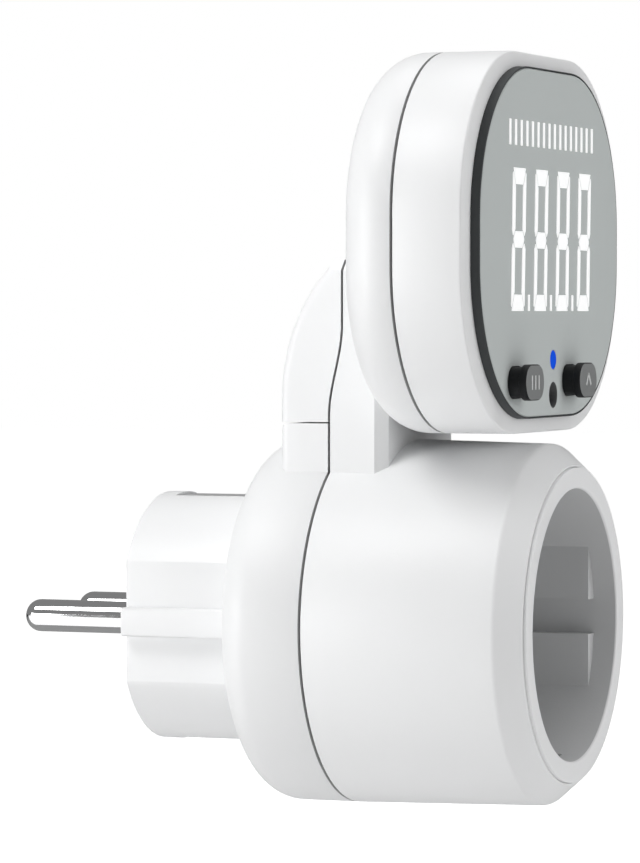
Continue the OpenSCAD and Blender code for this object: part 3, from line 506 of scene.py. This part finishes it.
def send_out(tree, entry, leave, pattern, tint_amount, gloss_amount):
    """Group outputs: colour and roughness swung by a pattern round its mean."""
    swing = math_node(tree, "SUBTRACT", pattern, 0.5)
    shade = math_node(tree, "MULTIPLY_ADD", swing, tint_amount)
    shade.node.inputs[2].default_value = 1.0
    shaded = tree.nodes.new("ShaderNodeVectorMath")
    shaded.operation = "SCALE"
    tree.links.new(entry.outputs["Color"], shaded.inputs[0])
    tree.links.new(shade, shaded.inputs["Scale"])
    tree.links.new(shaded.outputs["Vector"], leave.inputs["Color"])
    gloss = math_node(tree, "MULTIPLY_ADD", swing, gloss_amount)
    tree.links.new(entry.outputs["Roughness"], gloss.node.inputs[2])
    tree.links.new(gloss, leave.inputs["Roughness"])


def make_moulded_group():
    """Moulded plastic: slight clouding, uneven gloss and a fine eroded grain."""
    tree, entry, leave = group_shell(
        "moulded_plastic",
        (("Color", "NodeSocketColor"), ("Clouding", "NodeSocketFloat"), ("Roughness", "NodeSocketFloat"),
         ("Unevenness", "NodeSocketFloat"), ("Grain Scale", "NodeSocketFloat")),
        (("Color", "NodeSocketColor"), ("Roughness", "NodeSocketFloat"), ("Height", "NodeSocketFloat")),
    )
    where = tree.nodes.new("ShaderNodeTexCoord").outputs["Object"]
    clouds = noise(tree, CLOUD_SCALE, 3, where)
    grain = noise(tree, 1, 2, where)
    tree.links.new(entry.outputs["Grain Scale"], grain.inputs["Scale"])
    amounts = entry.outputs["Clouding"], entry.outputs["Unevenness"]
    send_out(tree, entry, leave, clouds.outputs["Fac"], *amounts)
    tree.links.new(grain.outputs["Fac"], leave.inputs["Height"])
    return tree


def make_drawn_group():
    """Drawn or turned metal: fine lines along s with uneven polish."""
    tree, entry, leave = group_shell(
        "drawn_metal",
        (("Color", "NodeSocketColor"), ("Roughness", "NodeSocketFloat"), ("Line Scale", "NodeSocketFloat")),
        (("Color", "NodeSocketColor"), ("Roughness", "NodeSocketFloat"), ("Height", "NodeSocketFloat")),
    )
    where = tree.nodes.new("ShaderNodeTexCoord").outputs["Object"]
    stretch = tree.nodes.new("ShaderNodeMapping")
    stretch.inputs["Scale"].default_value = (1.0, LINE_STRETCH, 1.0)
    tree.links.new(where, stretch.inputs["Vector"])
    lines = noise(tree, 1, 3, stretch.outputs["Vector"])
    tree.links.new(entry.outputs["Line Scale"], lines.inputs["Scale"])
    send_out(tree, entry, leave, lines.outputs["Fac"], LINE_TINT, LINE_GLOSS)
    tree.links.new(lines.outputs["Fac"], leave.inputs["Height"])
    return tree


MOULDED = make_moulded_group()
DRAWN = make_drawn_group()


def finish(name, group, values, bump, metallic=0.0, specular=0.5, glow=None, glow_strength=0.0):
    """Material whose colour, gloss and grain come from one of the groups."""
    material = bpy.data.materials.new(name)
    material.use_nodes = True
    tree = material.node_tree
    shader = tree.nodes["Principled BSDF"]
    shader.inputs["Metallic"].default_value = metallic
    shader.inputs["Specular IOR Level"].default_value = specular
    if glow:
        shader.inputs["Emission Color"].default_value = (*glow, 1)
        shader.inputs["Emission Strength"].default_value = glow_strength
    effect = tree.nodes.new("ShaderNodeGroup")
    effect.node_tree = group
    for label, value in values.items():
        effect.inputs[label].default_value = (*value, 1) if isinstance(value, tuple) else value
    relief = tree.nodes.new("ShaderNodeBump")
    relief.inputs["Strength"].default_value = bump
    relief.inputs["Distance"].default_value = RELIEF * MM
    tree.links.new(effect.outputs["Color"], shader.inputs["Base Color"])
    tree.links.new(effect.outputs["Roughness"], shader.inputs["Roughness"])
    tree.links.new(effect.outputs["Height"], relief.inputs["Height"])
    tree.links.new(relief.outputs["Normal"], shader.inputs["Normal"])
    return material


def plastic(name, color, roughness, bump=0.25, grain=3200, clouding=0.03, unevenness=0.08, **more):
    values = {"Color": color, "Clouding": clouding, "Roughness": roughness,
              "Unevenness": unevenness, "Grain Scale": grain}
    return finish(name, MOULDED, values, bump, **more)


def metal(name, color, roughness, bump=0.15, line_scale=2600):
    values = {"Color": color, "Roughness": roughness, "Line Scale": line_scale}
    return finish(name, DRAWN, values, bump, metallic=1.0)


FINISHES = {
    "white_plastic": plastic("white_plastic", (0.86, 0.865, 0.87), 0.42),
    "socket_plastic": plastic("socket_plastic", (0.86, 0.865, 0.87), 0.46),
    "pin_metal": metal("pin_metal", (0.78, 0.785, 0.79), 0.07, bump=0.04),
    "contact_brass": metal("contact_brass", (0.66, 0.50, 0.24), 0.30),
    "panel_edge": plastic("panel_edge", (0.062, 0.066, 0.068), 0.5, clouding=0.2, specular=0.1),
    "panel_face": plastic("panel_face", (0.52, 0.552, 0.546), 0.62, bump=0.1, grain=5000, specular=0.25),
    "display_white": plastic("display_white", (0.85, 0.86, 0.86), 0.5, bump=0.1,
                             glow=(1.0, 1.0, 1.0), glow_strength=0.36),
    "indicator_blue": plastic("indicator_blue", (0.002, 0.01, 0.05), 0.6, bump=0.05, specular=0.0,
                              glow=(0.008, 0.07, 0.62), glow_strength=1.0),
    "button_plastic": plastic("button_plastic", (0.010, 0.011, 0.012), 0.5, clouding=0.2, specular=0.15),
    "hole_black": plastic("hole_black", (0.012, 0.012, 0.013), 0.5, clouding=0.2),
    "board_green": plastic("board_green", (0.03, 0.16, 0.07), 0.4, bump=0.4, grain=900, clouding=0.3),
    "component_black": plastic("component_black", (0.03, 0.03, 0.033), 0.5, clouding=0.2),
    "capacitor_yellow": plastic("capacitor_yellow", (0.70, 0.46, 0.07), 0.3, clouding=0.12),
    "connector_ivory": plastic("connector_ivory", (0.76, 0.72, 0.60), 0.45, clouding=0.1),
    "cable_grey": plastic("cable_grey", (0.19, 0.19, 0.20), 0.55, bump=0.4, grain=1500, clouding=0.15),
    "screw_steel": metal("screw_steel", (0.55, 0.56, 0.58), 0.3),
    "shutter_ivory": plastic("shutter_ivory", (0.68, 0.66, 0.61), 0.45, clouding=0.06),
    "shunt_alloy": metal("shunt_alloy", (0.52, 0.37, 0.26), 0.35),
}
# Painted shade: darker grey inside the socket recess, standing in for the shadow deep in the well
SOCKET_WELL_SHADE = plastic("socket_well_painted_shade", (0.58, 0.585, 0.59), 0.5)
# Painted shade: grey on the end faces at the casing joints, standing in for the shadow in the gaps
SEAM_PAINTED_SHADE = plastic("seam_painted_shade", (0.50, 0.503, 0.506), 0.7)
STRIP_METAL = metal("strip_metal", (0.72, 0.725, 0.73), 0.38)
KEY_FACE = plastic("key_face", (0.20, 0.207, 0.207), 0.5, bump=0.35, grain=4200, clouding=0.1)
KEY_MARK = plastic("key_mark", (0.62, 0.63, 0.63), 0.5, bump=0.1)
# Painted shade: dark grey on the reset hole's wall, standing in for the shadow inside the hole
HOLE_WALL_SHADE = plastic("hole_wall_painted_shade", (0.17, 0.175, 0.175), 0.5, clouding=0.2)

for entry in frame["record"]["subparts"]:
    solid = frame["nodes"][entry["node"]]
    solid.data.materials.clear()
    solid.data.materials.append(FINISHES[entry["material_slot"]])
frame["nodes"]["earth_strips"].data.materials[0] = STRIP_METAL

WHITE = FINISHES["white_plastic"]


# Pieces of the body


def seam_s(z, side):
    """Place of the neck's seam at a height, on its rear (-1) or front (1) side."""
    part = min(1.0, max(0.0, (z - SEAM_LOW_Z) / (SEAM_HIGH_Z - SEAM_LOW_Z)))
    return SEAM_S + SEAM_SHIFT * part * part * (3 - 2 * part) + side * SEAM_GAP / 2


def seam_line(z_start, z_end, side, steps=16):
    """Side-view points along the neck's seam."""
    heights = [z_start + (z_end - z_start) * i / steps for i in range(steps + 1)]
    return [(seam_s(z, side), z) for z in heights]


def plug_barrel():
    """Barrel with two side flats, a guide rib on each flat and grooves for the earth strips."""
    barrel = rod(0, 0, PLUG_R, 0, BODY_REAR_S + WALL / 2)
    for side in (-1, 1):
        trim(barrel, (side * PLUG_FLAT, 0, 0), (side, 0, 0))
    flat_edges = edges_where(
        barrel, lambda x, s, z: near(abs(x), PLUG_FLAT) and near(abs(z), math.sqrt(PLUG_R**2 - PLUG_FLAT**2)))
    soften(barrel, flat_edges, PLUG_FLAT_EDGE, steps=3)
    soften(barrel, edges_where(barrel, lambda x, s, z: near(s, 0)), PLUG_EDGE, steps=6)
    divide(barrel, (0, 0, 0), (0, 0, 1))
    groove = EARTH_W / 2 + POCKET_GAP
    for side in (-1, 1):
        low, high = sorted((side * EARTH_FLOOR_Z, side * 2 * PLUG_R))
        barrel = cut_out(barrel, block((-groove, EARTH_START_S, low), (groove, 2 * BODY_REAR_S, high)))
    ribs = []
    for side in (-1, 1):
        rib = rod(0, 0, PLUG_R, 0, BODY_REAR_S + WALL / 2)
        trim(rib, (0, 0, PLUG_RIB), (0, 0, 1))
        trim(rib, (0, 0, -PLUG_RIB), (0, 0, -1))
        trim(rib, (side * (PLUG_FLAT - RIB_ROOT), 0, 0), (-side, 0, 0))
        soften(rib, edges_where(rib, lambda x, s, z: near(s, 0)), RIB_EDGE, steps=4)
        long_edges = edges_where(rib, lambda x, s, z: near(abs(z), PLUG_RIB) and abs(x) > PLUG_FLAT)
        soften(rib, long_edges, RIB_SIDE_EDGE, steps=3)
        ribs.append(rib)
    for side in (-1, 1):
        barrel = cut_out(barrel, rod(side * PIN_X, 0, PIN_RECESS_R, -CUT_OVER, PIN_RECESS, FINE_STEPS))
    return joined(barrel, *ribs)


def rear_casing():
    seam = SEAM_S - SEAM_GAP / 2
    inner = BODY_R - WALL
    shell = spun([
        (PLUG_R - WALL, BODY_REAR_S), (BODY_R, BODY_REAR_S), (BODY_R, seam), (inner, seam),
        (inner, BODY_REAR_S + WALL), (PLUG_R - WALL, BODY_REAR_S + WALL),
    ])
    soften(shell, ring_edges(shell, BODY_R, BODY_REAR_S), REAR_ROUND, steps=14)
    soften(shell, ring_edges(shell, BODY_R, seam), SEAM_EDGE, steps=2)
    for quarter in range(4):
        angle = math.radians(45 + 90 * quarter)
        x, z = SCREW_RING_R * math.cos(angle), SCREW_RING_R * math.sin(angle)
        shell = cut_out(shell, rod(x, z, SCREW_HOLE_R, 0, BODY_REAR_S + SCREW_SINK - TOUCH, HOLE_STEPS))
    stub = across([
        (NECK_REAR_S, NECK_ROOT_Z), (NECK_REAR_S, SPLIT_Z - SPLIT_GAP / 2),
        (seam, SPLIT_Z - SPLIT_GAP / 2), (seam, NECK_ROOT_Z),
    ], NECK_HALF_W)
    corners = edges_where(stub, lambda x, s, z: near(abs(x), NECK_HALF_W) and near(s, NECK_REAR_S))
    soften(stub, corners, NECK_EDGE, steps=6)
    thing = piece("rear_casing_shell", joined(shell, plug_barrel(), stub), WHITE, stands_for=["rear_casing"])
    # Painted shade on the end face at the seam and the top face at the split, for the shadow in the gaps
    tint(thing, SEAM_PAINTED_SHADE, lambda at, facing: at.y > seam - SEAM_SHADE_DEPTH or near(at.z, SPLIT_Z - SPLIT_GAP / 2))


def front_casing():
    seam = SEAM_S + SEAM_GAP / 2
    bevel_start = BEVEL_END_S - BEVEL_LENGTH
    mouth = LIP_R + POCKET_GAP
    ledge = FLANGE_S - FLANGE_T
    shell = spun([
        (BODY_R, seam), (BODY_FRONT_R, bevel_start), (LIP_R + BEVEL_RIM, BEVEL_END_S), (mouth, BEVEL_END_S),
        (mouth, FLANGE_S), (INSERT_R + POCKET_GAP, FLANGE_S), (INSERT_R + POCKET_GAP, ledge),
        (BODY_FRONT_R - WALL, ledge), (BODY_R - WALL, seam),
    ])
    soften(shell, ring_edges(shell, BODY_FRONT_R, bevel_start), BEVEL_EDGE, steps=4)
    soften(shell, ring_edges(shell, BODY_R, seam), SEAM_EDGE, steps=2)
    neck = across(
        [(seam, NECK_ROOT_Z)] + seam_line(SPLIT_Z, NECK_TOP_Z, 1)
        + [(NECK_FRONT_S, NECK_TOP_Z), (NECK_FRONT_S, NECK_ROOT_Z)],
        NECK_HALF_W,
    )
    for side in (-1, 1):
        edge_x = side * (NECK_HALF_W - NECK_CHAMFER)
        trim(neck, (edge_x, 0, NECK_TOP_Z), (side, 0, 1))
        trim(neck, (edge_x, NECK_FRONT_S, 0), (side, 1, 0))
    thing = piece("front_casing_shell", joined(shell, neck), WHITE, stands_for=["front_casing"])
    # Painted shade on the casing's and neck's end faces at the seam, for the shadow in the gap
    tint(thing, SEAM_PAINTED_SHADE, lambda at, facing: at.y < seam_s(at.z, 1) + SEAM_SHADE_DEPTH)


def neck_cover():
    """Section with rounded back corners, drawn down to the split and swept up along the curved back."""
    foot = SPLIT_Z + SPLIT_GAP / 2
    cover = bmesh.new()
    corners = ((-1, NECK_REAR_S), (-1, NECK_FRONT_S), (1, NECK_FRONT_S), (1, NECK_REAR_S))
    verts = [cover.verts.new(place(side * NECK_HALF_W, s, NECK_CURVE_Z)) for side, s in corners]
    cover.faces.new(verts)
    bmesh.ops.bevel(
        cover, geom=[verts[0], verts[-1]], offset=NECK_EDGE * MM, segments=8, profile=0.5,
        affect="VERTICES", material=-1,
    )
    bmesh.ops.delete(cover, geom=cover.faces[:], context="FACES_ONLY")
    section = cover.verts[:] + cover.edges[:]
    grown = bmesh.ops.extrude_edge_only(cover, edges=cover.edges[:])
    fresh = [part for part in grown["geom"] if isinstance(part, bmesh.types.BMVert)]
    bmesh.ops.translate(cover, vec=place(0, 0, foot - NECK_CURVE_Z), verts=fresh)
    bmesh.ops.spin(
        cover, geom=section, cent=place(0, NECK_REAR_S + NECK_BACK_R, NECK_CURVE_Z), axis=(1, 0, 0),
        dvec=(0, 0, 0), angle=math.radians(NECK_SWEEP), steps=24,
    )
    bmesh.ops.holes_fill(cover, edges=[edge for edge in cover.edges if edge.is_boundary])
    bmesh.ops.recalc_face_normals(cover, faces=cover.faces)
    low, high = foot - WALL, NECK_TOP_Z + WALL
    front = [(BEVEL_END_S, high), (BEVEL_END_S, low)]
    cover = cut_out(cover, across(seam_line(low, high, -1) + front, NECK_HALF_W + WALL))
    trim(cover, (0, 0, NECK_TOP_Z), (0, 0, 1))
    for side in (-1, 1):
        trim(cover, (side * (NECK_HALF_W - NECK_CHAMFER), 0, NECK_TOP_Z), (side, 0, 1))
    thing = piece("neck_cover_shell", cover, WHITE, stands_for=["neck_cover"])
    # Painted shade on the seam face and the foot at the split, for the shadow in the gaps
    tint(thing, SEAM_PAINTED_SHADE, lambda at, facing: at.y > seam_s(at.z, -1) - SEAM_SHADE_DEPTH or near(at.z, foot))


def mains_pins():
    pins = []
    for side in (-1, 1):
        pin = rod(side * PIN_X, 0, PIN_R, pins_low.y, PIN_RECESS + TOUCH, FINE_STEPS)
        soften(pin, edges_where(pin, lambda x, s, z: near(s, pins_low.y)), PIN_R - PIN_TIP, steps=12)
        pins.append(pin)
    piece("mains_pins", joined(*pins), FINISHES["pin_metal"], stands_for=["plug_pins"])


def socket_insert():
    rear_s = insert_low.y + INSERT_TAIL
    floor_back = SOCKET_FLOOR_S - SOCKET_FLOOR_T
    cup = spun([
        (0, SOCKET_FLOOR_S), (SOCKET_R, SOCKET_FLOOR_S), (SOCKET_R, LIP_S), (LIP_R, LIP_S),
        (LIP_R, FLANGE_S), (INSERT_R, FLANGE_S), (INSERT_R, rear_s), (SOCKET_R, rear_s),
        (SOCKET_R, floor_back), (0, floor_back),
    ])
    soften(cup, ring_edges(cup, LIP_R, LIP_S), LIP_RIM, steps=3)
    soften(cup, ring_edges(cup, SOCKET_R, LIP_S), LIP_EDGE, steps=4)
    soften(cup, ring_edges(cup, SOCKET_R, SOCKET_FLOOR_S), FLOOR_EDGE, steps=4)
    for side in (-1, 1):
        ends = floor_back - CUT_OVER, SOCKET_FLOOR_S + CUT_OVER
        cup = cut_out(cup, rod(side * PIN_X, 0, PIN_HOLE_R, *ends, HOLE_STEPS))
        low, high = sorted((side * (SOCKET_R - CUT_OVER), side * (INSERT_R + CUT_OVER)))
        slot_w = EARTH_W / 2 + SLOT_GAP
        cup = cut_out(cup, block((-slot_w, SOCKET_FLOOR_S + SLOT_FOOT, low), (slot_w, FLAT_END_S, high)))
    flats = []
    for across_side in (-1, 1):
        for up_side in (-1, 1):
            flat = rod(0, 0, SOCKET_R + FLAT_ROOT, SOCKET_FLOOR_S - FLAT_ROOT, FLAT_END_S)
            trim(flat, (across_side * FLAT_X, 0, 0), (-across_side, 0, 0))
            trim(flat, (0, 0, up_side * GROOVE), (0, 0, -up_side))
            face_end = edges_where(flat, lambda x, s, z: near(abs(x), FLAT_X) and near(s, FLAT_END_S))
            soften(flat, face_end, FLAT_END_EDGE, steps=5)
            flats.append(flat)
    thing = piece("socket_cup", joined(cup, *flats), FINISHES["socket_plastic"], stands_for=["socket_insert"])
    # Painted shade on the inside of the recess, for the shadow in the well
    tint(thing, SOCKET_WELL_SHADE,
         lambda at, facing: at.y < LIP_S - LIP_EDGE and math.hypot(at.x, at.z) < INSERT_R - TOUCH)


# Pieces of the head


def head_shell():
    seam = bezel_low.y - SEAM_GAP
    wide, tall, corner = HEAD_W - 2 * WALL, HEAD_H - 2 * WALL, HEAD_CORNER - WALL
    shell = stacked([
        (HEAD_W, HEAD_H, HEAD_CORNER, HEAD_BACK_S, SHELL_ROUND, 18),
        (HEAD_W, HEAD_H, HEAD_CORNER, seam, SEAM_EDGE, 2),
        (wide, tall, corner, seam, 0, 0),
        (wide, tall, corner, HEAD_BACK_S + WALL, SHELL_ROUND - WALL, 8),
    ])
    sink_s = HEAD_BACK_S + HEAD_SCREW_SINK - TOUCH
    for side in (-1, 1):
        divide(shell, (0, 0, HEAD_MID_Z + side * HEAD_SCREW_Z), (0, 0, 1))
    bosses = []
    for x in (-HEAD_SCREW_X, HEAD_SCREW_X):
        for z in (HEAD_MID_Z - HEAD_SCREW_Z, HEAD_MID_Z + HEAD_SCREW_Z):
            shell = cut_out(shell, rod(x, z, SCREW_HOLE_R, 0, sink_s, HOLE_STEPS))
            boss = rod(x, z, SCREW_HOLE_R + BOSS_WALL, HEAD_BACK_S + WALL / 2, seam, HOLE_STEPS)
            bosses.append(cut_out(boss, rod(x, z, SCREW_HOLE_R, 0, sink_s, HOLE_STEPS)))
    thing = piece("head_shell", joined(shell, *bosses), WHITE, stands_for=["head_rear_shell"])
    # Painted shade on the shell's end face at the head seam, for the shadow in the gap
    tint(thing, SEAM_PAINTED_SHADE, lambda at, facing: at.y > seam - SEAM_SHADE_DEPTH)


def inset(amount):
    """Panel outline drawn inwards."""
    return PANEL_W - 2 * amount, PANEL_H - 2 * amount, PANEL_CORNER - amount


def head_bezel():
    pocket = inset(-FRAME_GAP)
    opening = inset(PANEL_LEDGE)
    inside = (HEAD_W - 2 * WALL, HEAD_H - 2 * WALL, HEAD_CORNER - WALL)
    wall_s = frame_low.y - PANEL_WALL
    bezel = stacked([
        (HEAD_W, HEAD_H, HEAD_CORNER, bezel_low.y, SEAM_EDGE, 2),
        (HEAD_W, HEAD_H, HEAD_CORNER, bezel_high.y, BEZEL_ROUND, 6),
        (*pocket, bezel_high.y, 0, 0),
        (*pocket, frame_low.y, 0, 0),
        (*opening, frame_low.y, 0, 0),
        (*opening, wall_s, 0, 0),
        (*inside, wall_s, 0, 0),
        (*inside, bezel_low.y, 0, 0),
    ], ring_shut=True)
    thing = piece("head_bezel_ring", bezel, WHITE, stands_for=["head_bezel"])
    # Painted shade on the bezel's end face at the head seam, for the shadow in the gap
    tint(thing, SEAM_PAINTED_SHADE, lambda at, facing: at.y < bezel_low.y + SEAM_SHADE_DEPTH)


def panel_edge():
    edge = stacked([
        (*inset(0), frame_low.y, 0, 0),
        (*inset(0), frame_high.y, RIM_EDGE, 3),
        (*inset(PANEL_RIM), frame_high.y, 0, 0),
        (*inset(PANEL_RIM), panel_low.y, 0, 0),
        (*inset(PANEL_SEAT), panel_low.y, 0, 0),
        (*inset(PANEL_SEAT), frame_low.y, 0, 0),
    ], ring_shut=True)
    piece("panel_edge_ring", edge, FINISHES["panel_edge"], stands_for=["panel_frame"])


def pill_block(x, z, width, height, s_start, s_end):
    """Upright pill-shaped block."""
    ends = ((width, height, height / 2 - TOUCH, s, 0, 0) for s in (s_start, s_end))
    return stacked(list(ends), x=x, z=z)


def middle(low, high):
    return (low.x + high.x) / 2, (low.z + high.z) / 2


def panel_face():
    face = stacked([
        (*inset(PANEL_RIM + FACE_GAP), panel_low.y, 0, 0),
        (*inset(PANEL_RIM + FACE_GAP), panel_high.y, PANEL_ROUND, 4),
    ])
    divide(face, (middle(lens_low, lens_high)[0], 0, 0), (1, 0, 0))
    divide(face, (0, 0, middle(mode_low, mode_high)[1]), (0, 0, 1))
    ends = panel_low.y - CUT_OVER, panel_high.y + CUT_OVER
    for low, high in ((mode_low, mode_high), (up_low, up_high)):
        x, z = middle(low, high)
        face = cut_out(face, pill_block(x, z, STEM_W + 2 * STEM_GAP, STEM_H + 2 * STEM_GAP, *ends))
    x, z = middle(lens_low, lens_high)
    face = cut_out(face, rod(x, z, LENS_R + LENS_GAP, *ends, FINE_STEPS))
    x, z = middle(reset_low, reset_high)
    face = cut_out(face, rod(x, z, RESET_HOLE_R, *ends, FINE_STEPS))
    thing = piece("panel_face_plate", face, FINISHES["panel_face"], stands_for=["display_panel"])

    def in_reset_hole(at, facing):
        sideways = abs(facing.y) < 0.5
        return sideways and math.hypot(at.x - x, at.z - z) < RESET_HOLE_R + TOUCH

    # Painted shade on the reset hole's wall, for the shadow inside it
    tint(thing, HOLE_WALL_SHADE, in_reset_hole)


def key_bars(x, z, s):
    """Mark of three upright bars, printed on a key's face."""
    bars = []
    for step in (-1, 0, 1):
        left, foot = x + step * MARK_PITCH - MARK_W / 2, z - MARK_H / 2
        bars.append(block((left, s - MARK_T, foot), (left + MARK_W, s + MARK_T, foot + MARK_H)))
    return bars


def key_chevron(x, z, s):
    """Mark of two bars that lean together at the top, printed on a key's face."""
    bars = []
    for side in (-1, 1):
        left, foot = x - MARK_W / 2, z - MARK_H / 2
        bar = block((left, s - MARK_T, foot), (left + MARK_W, s + MARK_T, foot + MARK_H))
        lean = Matrix.Rotation(math.radians(side * MARK_LEAN), 3, "Y")
        bmesh.ops.rotate(bar, cent=place(x, s, z + MARK_H / 2), matrix=lean, verts=bar.verts)
        bars.append(bar)
    return bars


def push_key(name, node, low, high, body, mark):
    """Pill key: dark stem and cap with a grey face and a printed mark."""
    x, z = middle(low, high)
    cap_s = high.y - CAP_T
    stem = pill_block(x, z, STEM_W, STEM_H, panel_low.y - STEM_ROOT, cap_s + CAP_BITE)
    cap = stacked([
        (CAP_W, CAP_H, CAP_H / 2 - TOUCH, cap_s, CAP_BACK_EDGE, 2),
        (CAP_W, CAP_H, CAP_H / 2 - TOUCH, high.y, CAP_FRONT_EDGE, 3),
    ], x=x, z=z)
    rod_part = rod(x, z, KEY_ROD_R, low.y, panel_low.y, ROD_STEPS)
    form = joined(stem, cap, rod_part, *mark(x, z, high.y))
    thing = piece(name, form, FINISHES["button_plastic"], body=body, stands_for=[node])
    tint(thing, KEY_FACE, lambda at, facing: at.y > high.y - TOUCH)
    tint(thing, KEY_MARK, lambda at, facing: at.y > high.y + MARK_T / 2)


def indicator():
    x, z = middle(lens_low, lens_high)
    lens = rod(x, z, LENS_R, panel_low.y - LENS_ROOT, lens_high.y, HOLE_STEPS)
    soften(lens, edges_where(lens, lambda a, s, b: near(s, lens_high.y)), LENS_EDGE, steps=4)
    piece("indicator_lens", lens, FINISHES["indicator_blue"], stands_for=["led_lens"])


rear_casing()
front_casing()
neck_cover()
mains_pins()
socket_insert()
head_shell()
head_bezel()
panel_edge()
panel_face()
push_key("mode_key_cap", "mode_button", mode_low, mode_high, "mode_key", key_bars)
push_key("up_key_cap", "up_button", up_low, up_high, "up_key", key_chevron)
indicator()


# Floor, light and camera

FLOOR_Z = -90.0
FLOOR_HALF = 4000.0
FLOOR_PALE = 0.95
FLOOR_MIRRORED = 0.4
CARD_EDGE_X = -42.0
GLOSS_DOME = 0.25
LAMP_REACH = 800.0
LAMP_AIM = (0, 30, 30)

# Soft boxes: direction from the object as (x, s, z), edge length and brightness on a white face
LAMPS = {
    "left_softbox": ((-0.53, -0.41, 0.76), 340, 0.45),
    "side_softbox": ((-0.75, 0, 0.66), 500, 0.14),
    "top_softbox": ((0.22, 0, 1), 600, 0.46),
    "front_softbox": ((0.15, 0.98, 0.05), 600, 0.42),
    "brow_softbox": ((0.2, 0.75, 0.62), 500, 0.20),
    "rear_softbox": ((-0.7, -0.7, -0.07), 420, 0.58),
}


def ray_kind(tree, kind):
    return tree.nodes.new("ShaderNodeLightPath").outputs[kind]


def add_floor():
    """Pale floor, white to the camera, with a bright card on its left that shiny faces mirror."""
    bm = bmesh.new()
    bmesh.ops.create_grid(bm, x_segments=1, y_segments=1, size=FLOOR_HALF * MM)
    bmesh.ops.translate(bm, vec=place(0, 0, FLOOR_Z), verts=bm.verts)
    mesh = bpy.data.meshes.new("floor")
    bm.to_mesh(mesh)
    bm.free()
    floor = bpy.data.objects.new("floor", mesh)
    bpy.context.scene.collection.objects.link(floor)
    material = bpy.data.materials.new("pale_floor")
    material.use_nodes = True
    tree = material.node_tree
    shader = tree.nodes["Principled BSDF"]
    shade = math_node(tree, "MULTIPLY_ADD", ray_kind(tree, "Is Glossy Ray"), FLOOR_MIRRORED - FLOOR_PALE)
    shade.node.inputs[2].default_value = FLOOR_PALE
    tree.links.new(shade, shader.inputs["Base Color"])
    shader.inputs["Roughness"].default_value = 0.9
    shader.inputs["Specular IOR Level"].default_value = 0.1
    shader.inputs["Emission Color"].default_value = (1, 1, 1, 1)
    apart = tree.nodes.new("ShaderNodeSeparateXYZ")
    tree.links.new(tree.nodes.new("ShaderNodeTexCoord").outputs["Object"], apart.inputs["Vector"])
    card = math_node(tree, "LESS_THAN", apart.outputs["X"], CARD_EDGE_X * MM)
    mirrored = math_node(tree, "MULTIPLY", card, ray_kind(tree, "Is Glossy Ray"))
    seen = math_node(tree, "MAXIMUM", mirrored, ray_kind(tree, "Is Camera Ray"))
    tree.links.new(seen, shader.inputs["Emission Strength"])
    mesh.materials.append(material)


def add_world():
    """White to the camera, and a dimmer studio to the object."""
    world = bpy.data.worlds.new("white_studio")
    bpy.context.scene.world = world
    world.use_nodes = True
    tree = world.node_tree
    back = tree.nodes["Background"]
    back.inputs["Color"].default_value = (1, 1, 1, 1)
    seen = math_node(tree, "MAXIMUM", ray_kind(tree, "Is Camera Ray"), ray_kind(tree, "Is Transmission Ray"))
    mirrored = math_node(tree, "MULTIPLY", ray_kind(tree, "Is Glossy Ray"), GLOSS_DOME)
    strength = math_node(tree, "MAXIMUM", seen, mirrored)
    tree.links.new(strength, back.inputs["Strength"])


def add_softbox(name, direction, size, brightness):
    """Square lamp whose brightness is what a white face turned towards it shows."""
    data = bpy.data.lights.new(name, "AREA")
    data.shape = "SQUARE"
    data.size = size * MM
    data.energy = brightness * (math.pi * LAMP_REACH * MM) ** 2
    lamp = bpy.data.objects.new(name, data)
    bpy.context.scene.collection.objects.link(lamp)
    aim = place(*LAMP_AIM)
    away = place(*direction).normalized()
    lamp.location = aim + away * LAMP_REACH * MM
    lamp.rotation_euler = (-away).to_track_quat("-Z", "Y").to_euler()


add_floor()
add_world()
for label, (direction, size, brightness) in LAMPS.items():
    add_softbox(label, direction, size, brightness)

CAMERA_TARGET = (0, 24.168, 27.6)
CAMERA_EYE = (-593.06, 255.61, 45.02)
LENS_MM = 179.74
SENSOR_MM = 36.0
CLIP_START_M = 0.01

camera_data = bpy.data.cameras.new("camera")
camera_data.lens = LENS_MM
camera_data.sensor_width = SENSOR_MM
camera_data.clip_start = CLIP_START_M
camera = bpy.data.objects.new("camera", camera_data)
bpy.context.scene.collection.objects.link(camera)
camera.location = place(*CAMERA_EYE)
camera.rotation_euler = (place(*CAMERA_TARGET) - place(*CAMERA_EYE)).to_track_quat("-Z", "Y").to_euler()
bpy.context.scene.camera = camera
bpy.context.scene.view_settings.view_transform = "Standard"
